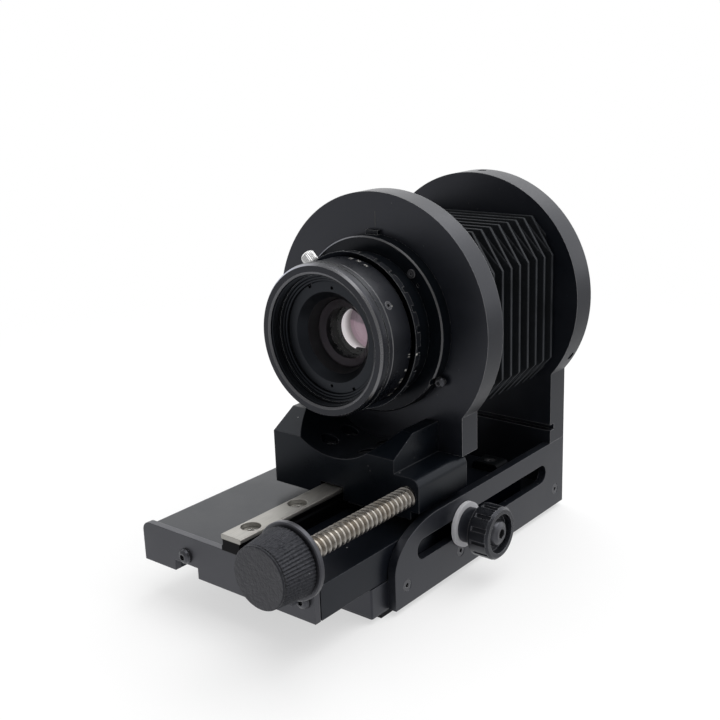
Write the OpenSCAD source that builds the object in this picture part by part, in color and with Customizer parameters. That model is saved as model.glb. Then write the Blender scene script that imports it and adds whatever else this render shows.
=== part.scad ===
// Small process camera: bellows and lens on a screw-driven bed over a clamped base
// Millimetres, Z up, Y runs back along the lens axis, origin at the tripod socket under the base

/* [Boards] */
// Diameter of the two round boards
board_d = 82; // [78:0.5:90]
// Thickness of the front board
front_board_t = 8.3; // [7:0.1:11]
// Thickness of the rear board
rear_board_t = 9.4; // [8.5:0.1:13]
// Width of the straight legs under the boards
leg_w = 63.3; // [62:0.1:68]
// Height of the lens axis over the table
axis_h = 77.2; // [76:0.1:88]
// Clear length between the boards at rest
board_gap = 46.2; // [42:0.1:60]

/* [Base] */
// Thickness of the foot plate
foot_t = 1.4; // [1:0.1:3]
// Height of the base block
base_h = 9.6; // [8.5:0.1:13]
// Reach of the base block ahead of the origin
base_reach = 51; // [46:0.5:56]
// Thickness of the slotted side plate
side_t = 2.8; // [2.2:0.1:3.4]
// Height of the side plate
side_h = 24.3; // [22:0.1:25.5]
// Width of the clamp slot
slot_w = 6.6; // [6.5:0.1:8]

/* [Bed] */
// Width of the bed plate
bed_w = 69.4; // [64:0.1:80]
// Thickness of the bed plate
bed_t = 10.3; // [9:0.1:12]
// Reach of the bed ahead of the origin
bed_reach = 72.7; // [70:0.1:80]
// Thickness of the end plate
end_t = 2.2; // [1.6:0.1:4]
// Width of the guide rail
rail_w = 7.7; // [7.4:0.1:9.6]
// Height of the guide rail
rail_h = 7.6; // [7:0.1:9]
// Spacing of the rail screws
rail_pitch = 20; // [16:0.5:25]

/* [Carriage] */
// Width of the carriage's main block
block_w = 48.4; // [46:0.1:49]
// Length of the carriage ahead of the front board
block_len = 23; // [21:0.1:26]
// Height of the carriage's side step
step_h = 13.2; // [12.5:0.1:14.5]

/* [Lens] */
// Radius of the numeral barrel
lens_r = 23.15; // [22:0.05:24]
// Radius of the mounting flange
flange_r = 28; // [27:0.1:29]
// Reach of the lens ahead of the front board
lens_reach = 27.8; // [27:0.1:32]
// Radius of the free opening behind the front glass
stop_r = 6.5; // [4:0.5:9]

/* [Bellows] */
// Width of the bellows over the folds
bellows_w = 66.2; // [60:0.1:68]
// Height of the bellows over the folds
bellows_h = 56.5; // [54:0.1:62]
// Depth of the folds
fold_d = 6; // [4:0.1:6.5]
// Folds in the front length
front_folds = 5; // [4:1:7]
// Folds in the rear length
rear_folds = 4; // [3:1:6]

/* [Screw and knobs] */
// Diameter of the lead screw
screw_d = 6.4; // [5.5:0.1:6.8]
// Diameter of the knurled knob at its face
knob_d = 17.6; // [14:0.1:19]
// Diameter of the smooth disc behind the knob
disc_d = 22; // [21.6:0.1:24]
// Diameter of the clamp knob
clamp_d = 16.6; // [14:0.1:19]
// Grooves round the clamp knob
clamp_grooves = 12; // [8:1:14]

/* [Hidden] */
round_fn = 96;
fine_fn = 48;
hex = 6;
slide_gap = 0.25;
run_gap = 0.05;
seat = 0.05;
over = 1;

// Levels, from the table up
base_z1 = foot_t + base_h;
bed_z0 = base_z1 + slide_gap;
bed_z1 = bed_z0 + bed_t;
rail_z1 = bed_z1 + rail_h;
runner_cap = 2.4;
runner_z1 = rail_z1 + runner_cap;
block_lift = 4;
block_z0 = bed_z1 + block_lift;
step_z1 = block_z0 + step_h;
flange_clear = 0.6;
block_grip = 8.2;
block_z1 = max(axis_h - flange_r - flange_clear, step_z1 + block_grip);
side_lift = 0.3;
side_z0 = foot_t + side_lift;
side_z1 = side_z0 + side_h;
clamp_z = bed_z0 + bed_t / 2;

// Stations along the axis
front_y = -8;
front_back_y = front_y + front_board_t;
rear_y = front_back_y + board_gap;
rear_back_y = rear_y + rear_board_t;
bed_y0 = -bed_reach;
bed_back_room = 14.5;
bed_y1 = rear_y - bed_back_room;
end_y0 = bed_y0 - end_t;
block_y0 = front_y - block_len;
block_tail = 2.3;
block_y1 = front_y + block_tail;
clamp_back = 0.5;
clamp_y = front_y + clamp_back;
split_y = front_back_y + board_gap * front_folds / (front_folds + rear_folds);

// Stations across
leg_x = leg_w / 2;
side_x0 = leg_x - side_t;
bed_x1 = side_x0 - slide_gap;
bed_x0 = bed_x1 - bed_w;
rail_x = -1.9;
block_x0 = -25.7;
block_x1 = block_x0 + block_w;
screw_in = 4.35;
screw_up = 7.15;
screw_x = leg_x - screw_in;
screw_z = block_z0 + screw_up;
screw_r = screw_d / 2;

// Base details
base_x0 = -side_x0;
foot_inset = 4.7;
foot_side = 0.4;
foot_tail = 3.5;
key_inset = 6;
base_corner_r = 0.6;
base_chamfer = 0.8;
key_in = 1.95;
key_x0 = base_x0 + key_in;
key_w = 9.4;
key_h = 3.2;
key_groove_x0 = key_x0 - slide_gap;
key_groove_w = key_w + 2 * slide_gap;
key_groove_h = key_h + slide_gap;
socket_r = 3.175;
socket_deep = 7;
socket_len = foot_t + socket_deep;
side_y0 = -43.2;
side_curve_y = 22.2;
side_curve_z = 13.3;
side_steps = 14;
slot_y0 = -32.2;
slot_back = 2.8;
slot_y1 = rear_y - slot_back;
side_screw_r = 1.2;
side_head_r = 1.9;
side_head_h = 0.9;
side_screw_len = 9;
side_tip_gap = 0.5;
side_head_gap = 0.1;
side_socket_r = 0.8;
side_socket_d = 1.2;
side_screw_up = 6.4;
side_screw_in = 5.7;
side_screw_mid = 1.2;
side_screw_z = foot_t + side_screw_up;
side_screw_y = [side_y0 + side_screw_in, front_y - side_screw_mid, rear_y + rear_board_t * 0.42];

// Rear board and camera ring
set_len = 10;
bore_band = 7;
port_band = 10;
ring_seat_r = board_d / 2 - set_len;
rear_bore_r = ring_seat_r - bore_band;
ring_seat_d = 6;
port_r = ring_seat_r - port_band;
ring_lip = 1.6;
ring_bevel = 1.2;
port_bevel = 0.5;
set_r = 1.6;
set_sink = 0.5;
set_socket_r = 0.8;
set_socket_d = 1.7;
set_angles = [90, -30, 210];
groove_drop = 8.05;
groove_z = step_z1 - groove_drop;
groove_h = 2.1;
groove_d = 2.4;

// Bed details
end_rise = 2.4;
end_corner_r = 3;
end_screw_r = 1.5;
end_head_r = 2.35;
end_head_h = 1.6;
end_screw_z = bed_z0 + bed_t * 0.6;
end_screw_left = 18.8;
end_screw_right = 3.9;
end_screw_x = [bed_x0 + end_screw_left, bed_x1 - end_screw_right];
end_socket_r = 1;
end_bite = 6;
end_hole_len = 7;
rail_neck_in = 1;
rail_neck_w = rail_w - rail_neck_in;
rail_head_h = 1.5;
rail_groove_h = 2;
rail_foot_h = rail_h - rail_head_h - rail_groove_h;
rail_nose = 0.4;
rail_tail = 2;
rail_lead = 8.3;
rail_last = 4;
rail_y0 = end_y0 - rail_nose;
rail_y1 = bed_y1 - rail_tail;
rail_first_y = rail_y0 + rail_lead;
rail_count = floor((rail_y1 - rail_first_y - rail_last) / rail_pitch) + 1;
rail_head_r = 2.85;
rail_cbore_r = 3;
rail_cbore_d = 4;
rail_screw_r = 1.5;
rail_hole_r = 1.75;
rail_screw_depth = 6;
rail_bevel = 0.3;
rail_cap_h = 2.6;
rail_socket_r = 1.2;
rail_tip_gap = 1;
stop_x = 15.5;
stop_w = 10;
stop_len = 7;
stop_h = 2.9;
stop_back = 10;
stop_y0 = bed_y1 - stop_back;
part_w = 0.45;
part_d = 0.6;
stop_screw_r = 1.3;
stop_head_r = 2;
stop_edge = 1.2;
stop_cbore_d = 1.8;
stop_cap_h = 1.5;
stop_hole_len = 4;
stop_bite = 2.8;
stop_socket_r = 0.9;
stop_screw_x = [stop_x + stop_w / 2];

// Bearing bracket of the lead screw
ear_t = 2.4;
ear_r = 5.9;
ear_back = 5.7;
ear_y0 = end_y0 - ear_back;
ear_y1 = ear_y0 + ear_t;
stem_w = 8;
foot_in = 3.1;
foot_x1 = bed_x1 - foot_in;
foot_w = 11;
foot_up = 7.1;
foot_z0 = bed_z0 + foot_up;
foot_z1 = bed_z1 + end_rise;
collar_r = 4.2;
collar_t = 1.2;
ear_gap = 0.2;
head_clear = 0.2;

// Carriage details
block_chamfer_y = 9.7;
block_chamfer_z = 5.65;
scoop_x = -0.9;
scoop_rise = 14;
scoop_r = 23.7;
scoop_floor = 4.5;
scoop_z = max(block_z1 + scoop_rise, runner_z1 + scoop_floor + scoop_r);
step_r = 3;
step_root = 2;
runner_w = 20;
runner_in = 2.5;
runner_tail = 0.6;
runner_y0 = block_y0 + runner_in;
runner_y1 = block_y1 - runner_tail;
runner_lip = 0.6;
side_clear = 2.2;
mouth_gap = 0.7;
pattern_x = 15;
pattern_y = 10;
pattern_in = 13.55;
pattern_mid_y = block_y0 + pattern_in;
block_screw_r = 1.5;
block_head_r = 2.6;
block_head_h = 3;
block_bite = 3;
block_socket_r = 1.25;
block_floor = 4.2;
block_floor_z = runner_z1 + block_floor;
runner_side_gap = 0.3;
runner_top_gap = 0.4;
runner_lift = 2.2;
lip_gap = 0.6;
runner_hole = 3.5;
board_screw_r = 2;
board_head_r = 3.4;
board_head_h = 3.4;
board_screw_x = 17;
board_edge = 0.25;
board_screw_z = step_z1 + board_head_r + board_edge;
board_bite = 9;
board_screw_len = front_board_t + board_bite;
board_tip_gap = 0.5;
board_socket_r = 1.5;
board_head_sink = 0.4;
board_bore_gap = 0.1;

// Lens stations, measured back from the front board's face, ahead is negative
groove_back = 5.2;
groove_w = 0.3;
groove_front = -lens_reach + groove_back;
barrel_front = groove_front + groove_w;
barrel_back = -13.4;
iris_front = -13.1;
iris_back = -10.9;
collar_back = -4.6;
core_front = -19.6;
core_tail = 4.6;
front_step = 0.35;
iris_step = 1.45;
core_step = 3.65;
stub_step = 2.5;
filter_step = 2.9;
retain_step = 5.95;
retain_in = 1.1;
core_back = front_board_t + core_tail;
front_r = lens_r + front_step;
iris_r = lens_r + iris_step;
core_r = lens_r - core_step;
stub_r = core_r - stub_step;
filter_r = lens_r - filter_step;
filter_len = 4;
retain_r = lens_r - retain_step;
retain_y = barrel_front + retain_in;
retain_w = 3.2;
retain_t = 1;
retain_rest = 0.2;
spanner_angles = [87, 267];
spanner_r = 0.5;
spanner_d = 1.4;
edge_slot_angles = [-62, 118];
edge_slot_w = 1.1;
edge_slot_in = 0.9;
edge_slot_d = 0.8;
lip_h = 0.4;
lip_w = 0.7;
ring_line_at = 2.9;
ring_line_w = 0.35;
ring_line_d = 0.4;
trap_t = 0.5;
glass_rim = 12.4;
glass_r = lens_r - glass_rim;
ring_gap = 0.15;
flange_bevel = 0.4;
glass_y = -15.8;
glass_t = 3.3;
glass_rise = 2.2;
glass_seat_y = glass_y + glass_t + 2 * seat;
rear_glass_t = 2.9;
rear_glass_in = 3.5;
rear_glass_step = 0.6;
bore_step = 1.6;
cone_step = 1;
stop_plate_y = -10.4;
stop_plate_t = 0.8;
stop_tab_x0 = -0.06 * stop_r;
stop_tab_x1 = 0.72 * stop_r;
stop_tab_in = 0.11 * stop_r;
wall_t = 2;
spigot_t = 0.55;
spigot_len = 1.2;
small_bevel = 0.2;
notch_count = 25;
notch_w = 1.95;
notch_d = 1;
notch_len = 1.3;
notch_turn = 8.2;
clamp_screw_r = 1;
clamp_head_r = 1.75;
clamp_head_h = 1.3;
clamp_floor = 1.5;
clamp_rest = 2;
clamp_tip_gap = 1;
clamp_socket_r = 0.8;
clamp_out = 1.2;
clamp_at = flange_r + clamp_out;
clamp_angles = [-31.5, 212];
lug_w = 4.6;
lug_x = -0.1;
lug_out = 1.4;
lug_t = 1.5;
lens_screw_r = 1.3;
lens_screw_at = lens_r + 1.75;
lens_screw_angle = 46.4;
lens_screw_len = 2;
lens_screw_proud = 0.35;
lens_socket_r = 0.65;
lens_socket_d = 0.9;
pin_hole_r = 0.45;
pin_hole_at = lens_r + 1.15;
pin_hole_angle = 37.2;
pin_hole_d = 1;
barrel_screw_r = 1.25;
barrel_screw_y = barrel_front + 2.5;
barrel_screw_angle = 30.7;
barrel_screw_len = 1.2;
nut_step = 3.6;
nut_gap = 1.4;
nut_r = min(stub_r + nut_step, bellows_h / 2 - fold_d - nut_gap);
nut_t = 2.6;
nut_slot = 1;
thumb_angle = 136;
thumb_y = (iris_back + collar_back) / 2 + 0.2;
thumb_r = 1.2;
thumb_head_r = 2.5;
thumb_step = 2.8;
thumb_head_in = lens_r + thumb_step;
thumb_head_len = 4.55;
thumb_neck_r = 1.9;
thumb_neck_t = 0.8;
thumb_tip_gap = 0.4;
thumb_bevel = 0.35;

// Bellows shape
fold_wall = 0.7;
cut_x = 7.9;
cut_top = 12.3;
cut_low = 9;

// Knob stations
disc_t = 1.8;
disc_y1 = ear_y0 - ear_gap;
disc_y0 = disc_y1 - disc_t;
neck_step = 1.8;
neck_r = screw_r + neck_step;
tail_step = 1;
tail_r = screw_r - tail_step;
tail_len = 6;
knob_bevel = 0.3;
disc_bevel = 0.3;
line_w = 0.4;
line_d = 0.35;
cap_t = 0.6;
knob_flare = 1.3;
neck_t = 0.2;
knob_len = 11.2;
knob_y1 = disc_y0 - neck_t;
knob_y0 = knob_y1 - knob_len;
screw_end_in = 0.8;
screw_y1 = block_y1 - screw_end_in;

// Clamp stations
washer_r = 7.2;
washer_t = 1.3;
washer_gap = 0.15;
washer_x0 = leg_x + washer_gap;
washer_x1 = washer_x0 + washer_t;
clamp_collar_r = 5.6;
clamp_collar_t = 4.5;
clamp_x0 = washer_x1 + clamp_collar_t;
clamp_len = 7.6;
clamp_x1 = clamp_x0 + clamp_len;
clamp_rim = 2.1;
clamp_recess_r = clamp_d / 2 - clamp_rim;
clamp_draft = 0.4;
clamp_bevel = 0.8;
groove_r = 0.7;
groove_out = 0.1;
groove_lead = 1.7;
groove_end = 0.7;
groove_turn = 7;
clamp_recess_d = 2.2;
stem_r = 3;
stem_in = 8;
stem_tip_gap = 0.6;
button_r = 4.2;
button_h = 2.4;
button_socket_r = 1.7;

// A box between two corners
module box(a, b) {
  translate(a) cube(b - a);
}

// A cylinder along Y between two stations
module rod_y(r, y0, y1, fn) {
  translate([0, y0, 0]) rotate([-90, 0, 0]) cylinder(r = r, h = y1 - y0, $fn = fn);
}

// A cylinder along X between two stations
module rod_x(r, x0, x1, fn) {
  translate([x0, 0, 0]) rotate([0, 90, 0]) cylinder(r = r, h = x1 - x0, $fn = fn);
}

// A solid of revolution on the Y axis from points of radius and station
module turned_y(points) {
  rotate([-90, 0, 0]) rotate_extrude($fn = round_fn) polygon(points);
}

// A lens piece, placed on the lens axis at the front board's face
module on_lens() {
  translate([0, front_y, axis_h]) children();
}

// A place on the flange's front face at a radius and an angle
module on_flange(at, angle) {
  on_lens() translate([at * cos(angle), collar_back, at * sin(angle)]) children();
}

// The axis of the barrel's set screw, along X
module on_barrel_screw() {
  on_lens() translate([0, barrel_screw_y, 0]) rotate([0, -barrel_screw_angle, 0]) children();
}

// A ring on the lens axis
module lens_ring(r_out, r_in, y0, y1) {
  on_lens() turned_y([[r_in, y0], [r_out, y0], [r_out, y1], [r_in, y1]]);
}

// The outline of a board seen along Y, with its lens centre at zero and its leg down to a level
module board_outline(drop) {
  intersection() {
    union() {
      circle(d = board_d, $fn = round_fn);
      translate([-leg_x, -drop]) square([leg_w, drop]);
    }
    translate([-board_d, -drop]) square([2 * board_d, drop + board_d]);
  }
}

// A plate in the XZ plane between two stations
module plate_y(y0, y1) {
  translate([0, y1, 0]) rotate([90, 0, 0]) linear_extrude(y1 - y0) children();
}

// A plate in the YZ plane between two stations
module plate_x(x0, x1) {
  translate([x0, 0, 0]) rotate([90, 0, 90]) linear_extrude(x1 - x0) children();
}

// A socket head screw along Z, head at the top
module cap_screw(r, head_r, head_h, len, socket_r) {
  difference() {
    union() {
      translate([0, 0, -len]) cylinder(r = r, h = len, $fn = fine_fn);
      cylinder(r = head_r, h = head_h, $fn = fine_fn);
    }
    translate([0, 0, head_h * 0.4]) cylinder(r = socket_r, h = head_h, $fn = hex);
  }
}

// A domed head screw along Z, head at the top
module button_screw(r, head_r, head_h, len, socket_r) {
  crown = head_r * 0.55;
  difference() {
    rotate_extrude($fn = fine_fn)
      polygon([[0, -len], [r, -len], [r, 0], [head_r, 0], [head_r, head_h * 0.3],
        [head_r * 0.86, head_h * 0.72], [crown, head_h], [0, head_h]]);
    translate([0, 0, head_h * 0.35]) cylinder(r = socket_r, h = head_h, $fn = hex);
  }
}

module foot_plate() {
  color("#1d1d1f") difference() {
    box([base_x0 + foot_side, -base_reach + foot_inset, 0],
      [side_x0 - foot_side, rear_y + foot_tail, foot_t]);
    translate([0, 0, -over]) cylinder(r = socket_r, h = foot_t + 2 * over, $fn = fine_fn);
  }
}

// Plan of the base block with rounded front corners
module base_plan(inset) {
  r = base_corner_r;
  x0 = base_x0 + inset;
  x1 = side_x0 - inset;
  y0 = -base_reach + inset;
  translate([x0, y0 + r]) square([x1 - x0, rear_y - y0 - r]);
  translate([x0 + r, y0]) square([x1 - x0 - 2 * r, r + seat]);
  for (x = [x0 + r, x1 - r]) translate([x, y0 + r]) circle(r = r, $fn = fine_fn);
}

module base_block() {
  color("#232325") difference() {
    union() {
      translate([0, 0, foot_t]) linear_extrude(base_chamfer) base_plan(base_chamfer / 2);
      translate([0, 0, foot_t + base_chamfer]) linear_extrude(base_h - base_chamfer) base_plan(0);
      box([key_x0, -base_reach + key_inset, base_z1 - over],
        [key_x0 + key_w, rear_y - over, base_z1 + key_h]);
    }
    translate([0, 0, -over]) cylinder(r = socket_r, h = socket_len + over, $fn = fine_fn);
    for (i = [0, 1]) translate([0, side_screw_y[i], side_screw_z])
      rod_x(side_screw_r + run_gap, side_x0 - side_screw_len, side_x0 + over, fine_fn);
  }
}

// The side plate's outline, its front corner a quarter of an ellipse
module side_outline() {
  polygon(concat(
    [[rear_back_y, side_z0], [rear_back_y, side_z1]],
    [for (i = [0 : side_steps]) let(a = 90 * i / side_steps)
      [side_y0 + side_curve_y * (1 - sin(a)), side_z1 - side_curve_z * (1 - cos(a))]],
    [[side_y0, side_z0]]));
}

module side_plate() {
  color("#252527") difference() {
    plate_x(side_x0, leg_x) difference() {
      side_outline();
      translate([slot_y0 + slot_w / 2, clamp_z - slot_w / 2])
        square([slot_y1 - slot_y0 - slot_w, slot_w]);
      for (y = [slot_y0 + slot_w / 2, slot_y1 - slot_w / 2])
        translate([y, clamp_z]) circle(d = slot_w, $fn = fine_fn);
    }
    for (y = side_screw_y) translate([0, y, side_screw_z]) {
      rod_x(side_screw_r + run_gap, side_x0 - over, leg_x + over, fine_fn);
      translate([leg_x - side_head_h, 0, 0]) rotate([0, 90, 0])
        cylinder(r1 = side_screw_r + run_gap,
          r2 = side_head_r + 2 * run_gap, h = side_head_h + seat, $fn = fine_fn);
    }
  }
}

module side_screws() {
  color("#3a3a3c") for (y = side_screw_y) translate([0, y, side_screw_z]) difference() {
    union() {
      rod_x(side_screw_r, side_x0 - side_screw_len + side_tip_gap, leg_x - side_head_h + seat, fine_fn);
      translate([leg_x - side_head_h + seat, 0, 0]) rotate([0, 90, 0])
        cylinder(r1 = side_screw_r, r2 = side_head_r - side_head_gap,
          h = side_head_h - side_head_gap - seat, $fn = fine_fn);
    }
    rod_x(side_socket_r, leg_x - side_socket_d, leg_x + over, hex);
  }
}

module rear_board() {
  color("#29292b") difference() {
    translate([0, 0, axis_h]) plate_y(rear_y, rear_back_y) board_outline(axis_h - foot_t);
    translate([0, 0, axis_h]) rod_y(rear_bore_r, rear_y - over, rear_back_y + over, round_fn);
    translate([0, 0, axis_h])
      rod_y(ring_seat_r + run_gap, rear_back_y - ring_seat_d, rear_back_y + over, round_fn);
    box([side_x0, rear_y - over, 0], [leg_x + over, rear_back_y + over, side_z1]);
    box([-leg_x - over, rear_y - over, groove_z], [leg_x + over, rear_y + groove_d, groove_z + groove_h]);
    for (a = set_angles) translate([0, rear_back_y - ring_seat_d / 2, axis_h]) rotate([0, -a, 0])
      rod_x(set_r + run_gap, ring_seat_r - over, board_d / 2 + over, fine_fn);
    translate([0, side_screw_y[2], side_screw_z])
      rod_x(side_screw_r + run_gap, side_x0 - side_screw_len, side_x0 + over, fine_fn);
  }
}

module rear_set_screws() {
  color("#4a4a4d") for (a = set_angles)
    translate([0, rear_back_y - ring_seat_d / 2, axis_h]) rotate([0, -a, 0]) difference() {
      rod_x(set_r, ring_seat_r + seat, board_d / 2 - set_sink, fine_fn);
      rod_x(set_socket_r, board_d / 2 - set_sink - set_socket_d, board_d / 2 + over, hex);
    }
}

module camera_ring() {
  color("#303033") translate([0, 0, axis_h]) turned_y([
    [port_r, rear_back_y - ring_seat_d + seat], [ring_seat_r, rear_back_y - ring_seat_d + seat],
    [ring_seat_r, rear_back_y], [ring_seat_r - ring_bevel, rear_back_y + ring_lip],
    [port_r + port_bevel, rear_back_y + ring_lip], [port_r, rear_back_y + ring_lip - port_bevel]]);
}

// Length of a cut corner, and where its two ends move as the section is drawn in
function cut_len(cut) = sqrt(cut_x * cut_x + cut * cut);
function cut_end_x(cut, d) = bellows_w / 2 - cut_x - d * (cut_len(cut) - cut_x) / cut;
function cut_end_z(cut, d) = bellows_h / 2 - cut - d * (cut_len(cut) - cut) / cut_x;

// Corners of one bellows section, drawn in by a depth
function fold_ring(d) = let(a = bellows_w / 2 - d, b = bellows_h / 2 - d,
    top_x = cut_end_x(cut_top, d), top_z = cut_end_z(cut_top, d),
    low_x = cut_end_x(cut_low, d), low_z = cut_end_z(cut_low, d))
  [[a, -low_z], [a, top_z], [top_x, b], [-top_x, b],
    [-a, top_z], [-a, -low_z], [-low_x, -b], [low_x, -b]];

// A pleated eight-sided tube with a number of folds between two stations
module bellows_length(y0, y1, folds) {
  rings = 2 * folds;
  skin = [for (inner = [0, 1]) for (i = [0 : rings]) let(
      d = (i % 2 == 0 ? fold_d : 0) + inner * fold_wall,
      y = y0 + (y1 - y0) * i / rings)
    for (c = fold_ring(d)) [c[0], y, c[1]]];
  inside = 8 * (rings + 1);
  sides = [for (i = [0 : rings - 1]) for (j = [0 : 7]) let(k = (j + 1) % 8)
    [8 * i + j, 8 * i + k, 8 * i + 8 + k, 8 * i + 8 + j]];
  linings = [for (f = sides) [f[0] + inside, f[3] + inside, f[2] + inside, f[1] + inside]];
  last = 8 * rings;
  ends = [for (j = [0 : 7]) let(k = (j + 1) % 8) each [
    [j, j + inside, k + inside, k],
    [last + j, last + k, last + k + inside, last + j + inside]]];
  translate([0, 0, axis_h]) polyhedron(skin, concat(sides, linings, ends));
}

module bellows_front() {
  color("#3b3b3d") bellows_length(front_back_y + 2 * seat, split_y - seat, front_folds);
}

module bellows_rear() {
  color("#3b3b3d") bellows_length(split_y + seat, rear_y - 2 * seat, rear_folds);
}

module bed() {
  color("#2b2b2d") difference() {
    box([bed_x0, bed_y0, bed_z0], [bed_x1, bed_y1, bed_z1]);
    box([key_groove_x0, bed_y0 - over, bed_z0 - over],
      [key_groove_x0 + key_groove_w, bed_y1 + over, bed_z0 + key_groove_h]);
    translate([0, clamp_y, clamp_z])
      rod_x(stem_r + run_gap, bed_x1 - stem_in - stem_tip_gap, bed_x1 + over, fine_fn);
    for (x = end_screw_x) translate([x, 0, end_screw_z])
      rod_y(end_screw_r + run_gap, bed_y0 - over, bed_y0 + end_hole_len, fine_fn);
    for (i = [0 : rail_count - 1])
      translate([rail_x, rail_first_y + i * rail_pitch, bed_z1 - rail_screw_depth])
      cylinder(r = rail_screw_r + run_gap, h = rail_screw_depth + over, $fn = fine_fn);
    for (x = stop_screw_x) translate([x, stop_y0 + stop_len / 2, bed_z1 - stop_hole_len])
      cylinder(r = stop_screw_r + run_gap, h = stop_hole_len + over, $fn = fine_fn);
    for (x = [bed_x0 - over, bed_x1 - part_d])
      box([x, bed_y0 - over, bed_z0 - over], [x + part_d + over, bed_y0 + part_w, bed_z1 + over]);
  }
}

// The end plate's outline, with a round left shoulder and the groove's notch
module end_outline() {
  r = end_corner_r;
  top = bed_z1 + end_rise;
  difference() {
    union() {
      translate([bed_x0, bed_z0]) square([bed_w, bed_t + end_rise - r]);
      translate([bed_x0 + r, top - r - seat]) square([bed_w - r, r + seat]);
      translate([bed_x0 + r, top - r]) circle(r = r, $fn = fine_fn);
    }
    translate([key_groove_x0, bed_z0 - over]) square([key_groove_w, key_groove_h + over]);
    for (x = end_screw_x) translate([x, end_screw_z]) circle(r = end_screw_r + run_gap, $fn = fine_fn);
  }
}

module end_plate() {
  color("#343437") plate_y(end_y0, bed_y0 - seat) end_outline();
}

module end_screws() {
  color("#3c3c3e") for (x = end_screw_x) translate([x, end_y0 - seat, end_screw_z])
    rotate([90, 0, 0]) button_screw(end_screw_r, end_head_r, end_head_h, end_t + end_bite, end_socket_r);
}

// Half-width steps of the rail from its foot up
module rail_outline() {
  w = rail_w / 2;
  n = rail_neck_w / 2;
  g0 = rail_foot_h;
  g1 = rail_foot_h + rail_groove_h;
  b = rail_bevel;
  right = [[w, 0], [w, g0 - b], [n, g0 + b], [n, g1 - b], [w, g1 + b], [w, rail_h - b], [w - b, rail_h]];
  left = [for (i = [len(right) - 1 : -1 : 0]) [-right[i][0], right[i][1]]];
  translate([rail_x, bed_z1]) polygon(concat(right, left));
}

module rail() {
  color("#c9c7c2") difference() {
    plate_y(rail_y0, rail_y1) rail_outline();
    box([rail_x - rail_w, rail_y0 - over, bed_z1 - over],
      [rail_x + rail_w, bed_y0 + seat, bed_z1 + end_rise + seat]);
    for (i = [0 : rail_count - 1]) translate([rail_x, rail_first_y + i * rail_pitch, 0]) {
      translate([0, 0, bed_z1 - over]) cylinder(r = rail_hole_r, h = rail_h + 2 * over, $fn = fine_fn);
      translate([0, 0, rail_z1 - rail_cbore_d])
        cylinder(r = rail_cbore_r, h = rail_cbore_d + over, $fn = fine_fn);
    }
  }
}

module rail_screws() {
  color("#8e8d8a") for (i = [0 : rail_count - 1])
    translate([rail_x, rail_first_y + i * rail_pitch, rail_z1 - rail_cbore_d + seat])
      cap_screw(rail_screw_r, rail_head_r, rail_cap_h,
        rail_h - rail_cbore_d + rail_screw_depth - rail_tip_gap,
        rail_socket_r);
}

module bearing_bracket() {
  lean = atan2(screw_z - (foot_z0 + foot_z1) / 2, screw_x - (foot_x1 - foot_w / 2));
  mid_x = foot_x1 - foot_w / 2;
  mid_z = (foot_z0 + foot_z1) / 2;
  reach = norm([screw_x - mid_x, screw_z - mid_z]);
  color("#2a2a2c") difference() {
    union() {
      plate_y(ear_y0, ear_y1) {
        translate([screw_x, screw_z]) circle(r = ear_r, $fn = fine_fn);
        translate([mid_x, mid_z]) rotate(lean) translate([0, -stem_w / 2]) square([reach, stem_w]);
        translate([foot_x1 - foot_w, foot_z0]) square([foot_w, foot_z1 - foot_z0]);
      }
      plate_y(ear_y1 - seat, end_y0 - seat)
        translate([foot_x1 - foot_w, foot_z0]) square([foot_w, foot_z1 - foot_z0]);
    }
    translate([screw_x, 0, screw_z]) rod_y(screw_r + run_gap, ear_y0 - over, ear_y1 + over, fine_fn);
    translate([end_screw_x[1], 0, end_screw_z])
      rod_y(end_head_r + head_clear, end_y0 - end_head_h - 2 * head_clear, end_y0 + over, fine_fn);
  }
}

module rear_stop() {
  r = stop_h - stop_edge;
  color("#202022") difference() {
    translate([stop_x, 0, bed_z1 + seat]) plate_y(stop_y0, stop_y0 + stop_len) intersection() {
      square([stop_w, stop_h]);
      union() {
        square([stop_w, stop_h - r]);
        translate([r, 0]) square([stop_w - 2 * r, stop_h]);
        for (x = [r, stop_w - r]) translate([x, stop_h - r]) circle(r = r, $fn = fine_fn);
      }
    }
    for (x = stop_screw_x) translate([x, stop_y0 + stop_len / 2, bed_z1]) {
      cylinder(r = stop_screw_r + run_gap, h = stop_h + over, $fn = fine_fn);
      translate([0, 0, stop_h - stop_cbore_d])
        cylinder(r = stop_head_r + run_gap, h = stop_cbore_d + over, $fn = fine_fn);
    }
  }
}

module stop_screws() {
  color("#6a6a6d") for (x = stop_screw_x)
    translate([x, stop_y0 + stop_len / 2, bed_z1 + stop_h - stop_cbore_d + seat])
      cap_screw(stop_screw_r, stop_head_r, stop_cap_h, stop_h - stop_cbore_d + stop_bite, stop_socket_r);
}

// The carriage's main block seen along X, with its sloped front
module block_side() {
  polygon([[block_y0, block_z0], [front_y, block_z0], [front_y, block_z1],
    [block_y0 + block_chamfer_y, block_z1], [block_y0, block_z1 - block_chamfer_z]]);
}

// The step that carries the lead screw seen along Y
module step_outline() {
  translate([block_x1 - step_root, block_z0]) square([leg_x - block_x1 + step_root, step_h - step_r]);
  translate([block_x1 - step_root, block_z0]) square([leg_x - block_x1 + step_root - step_r, step_h]);
  translate([leg_x - step_r, step_z1 - step_r]) circle(r = step_r, $fn = fine_fn);
}

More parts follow.
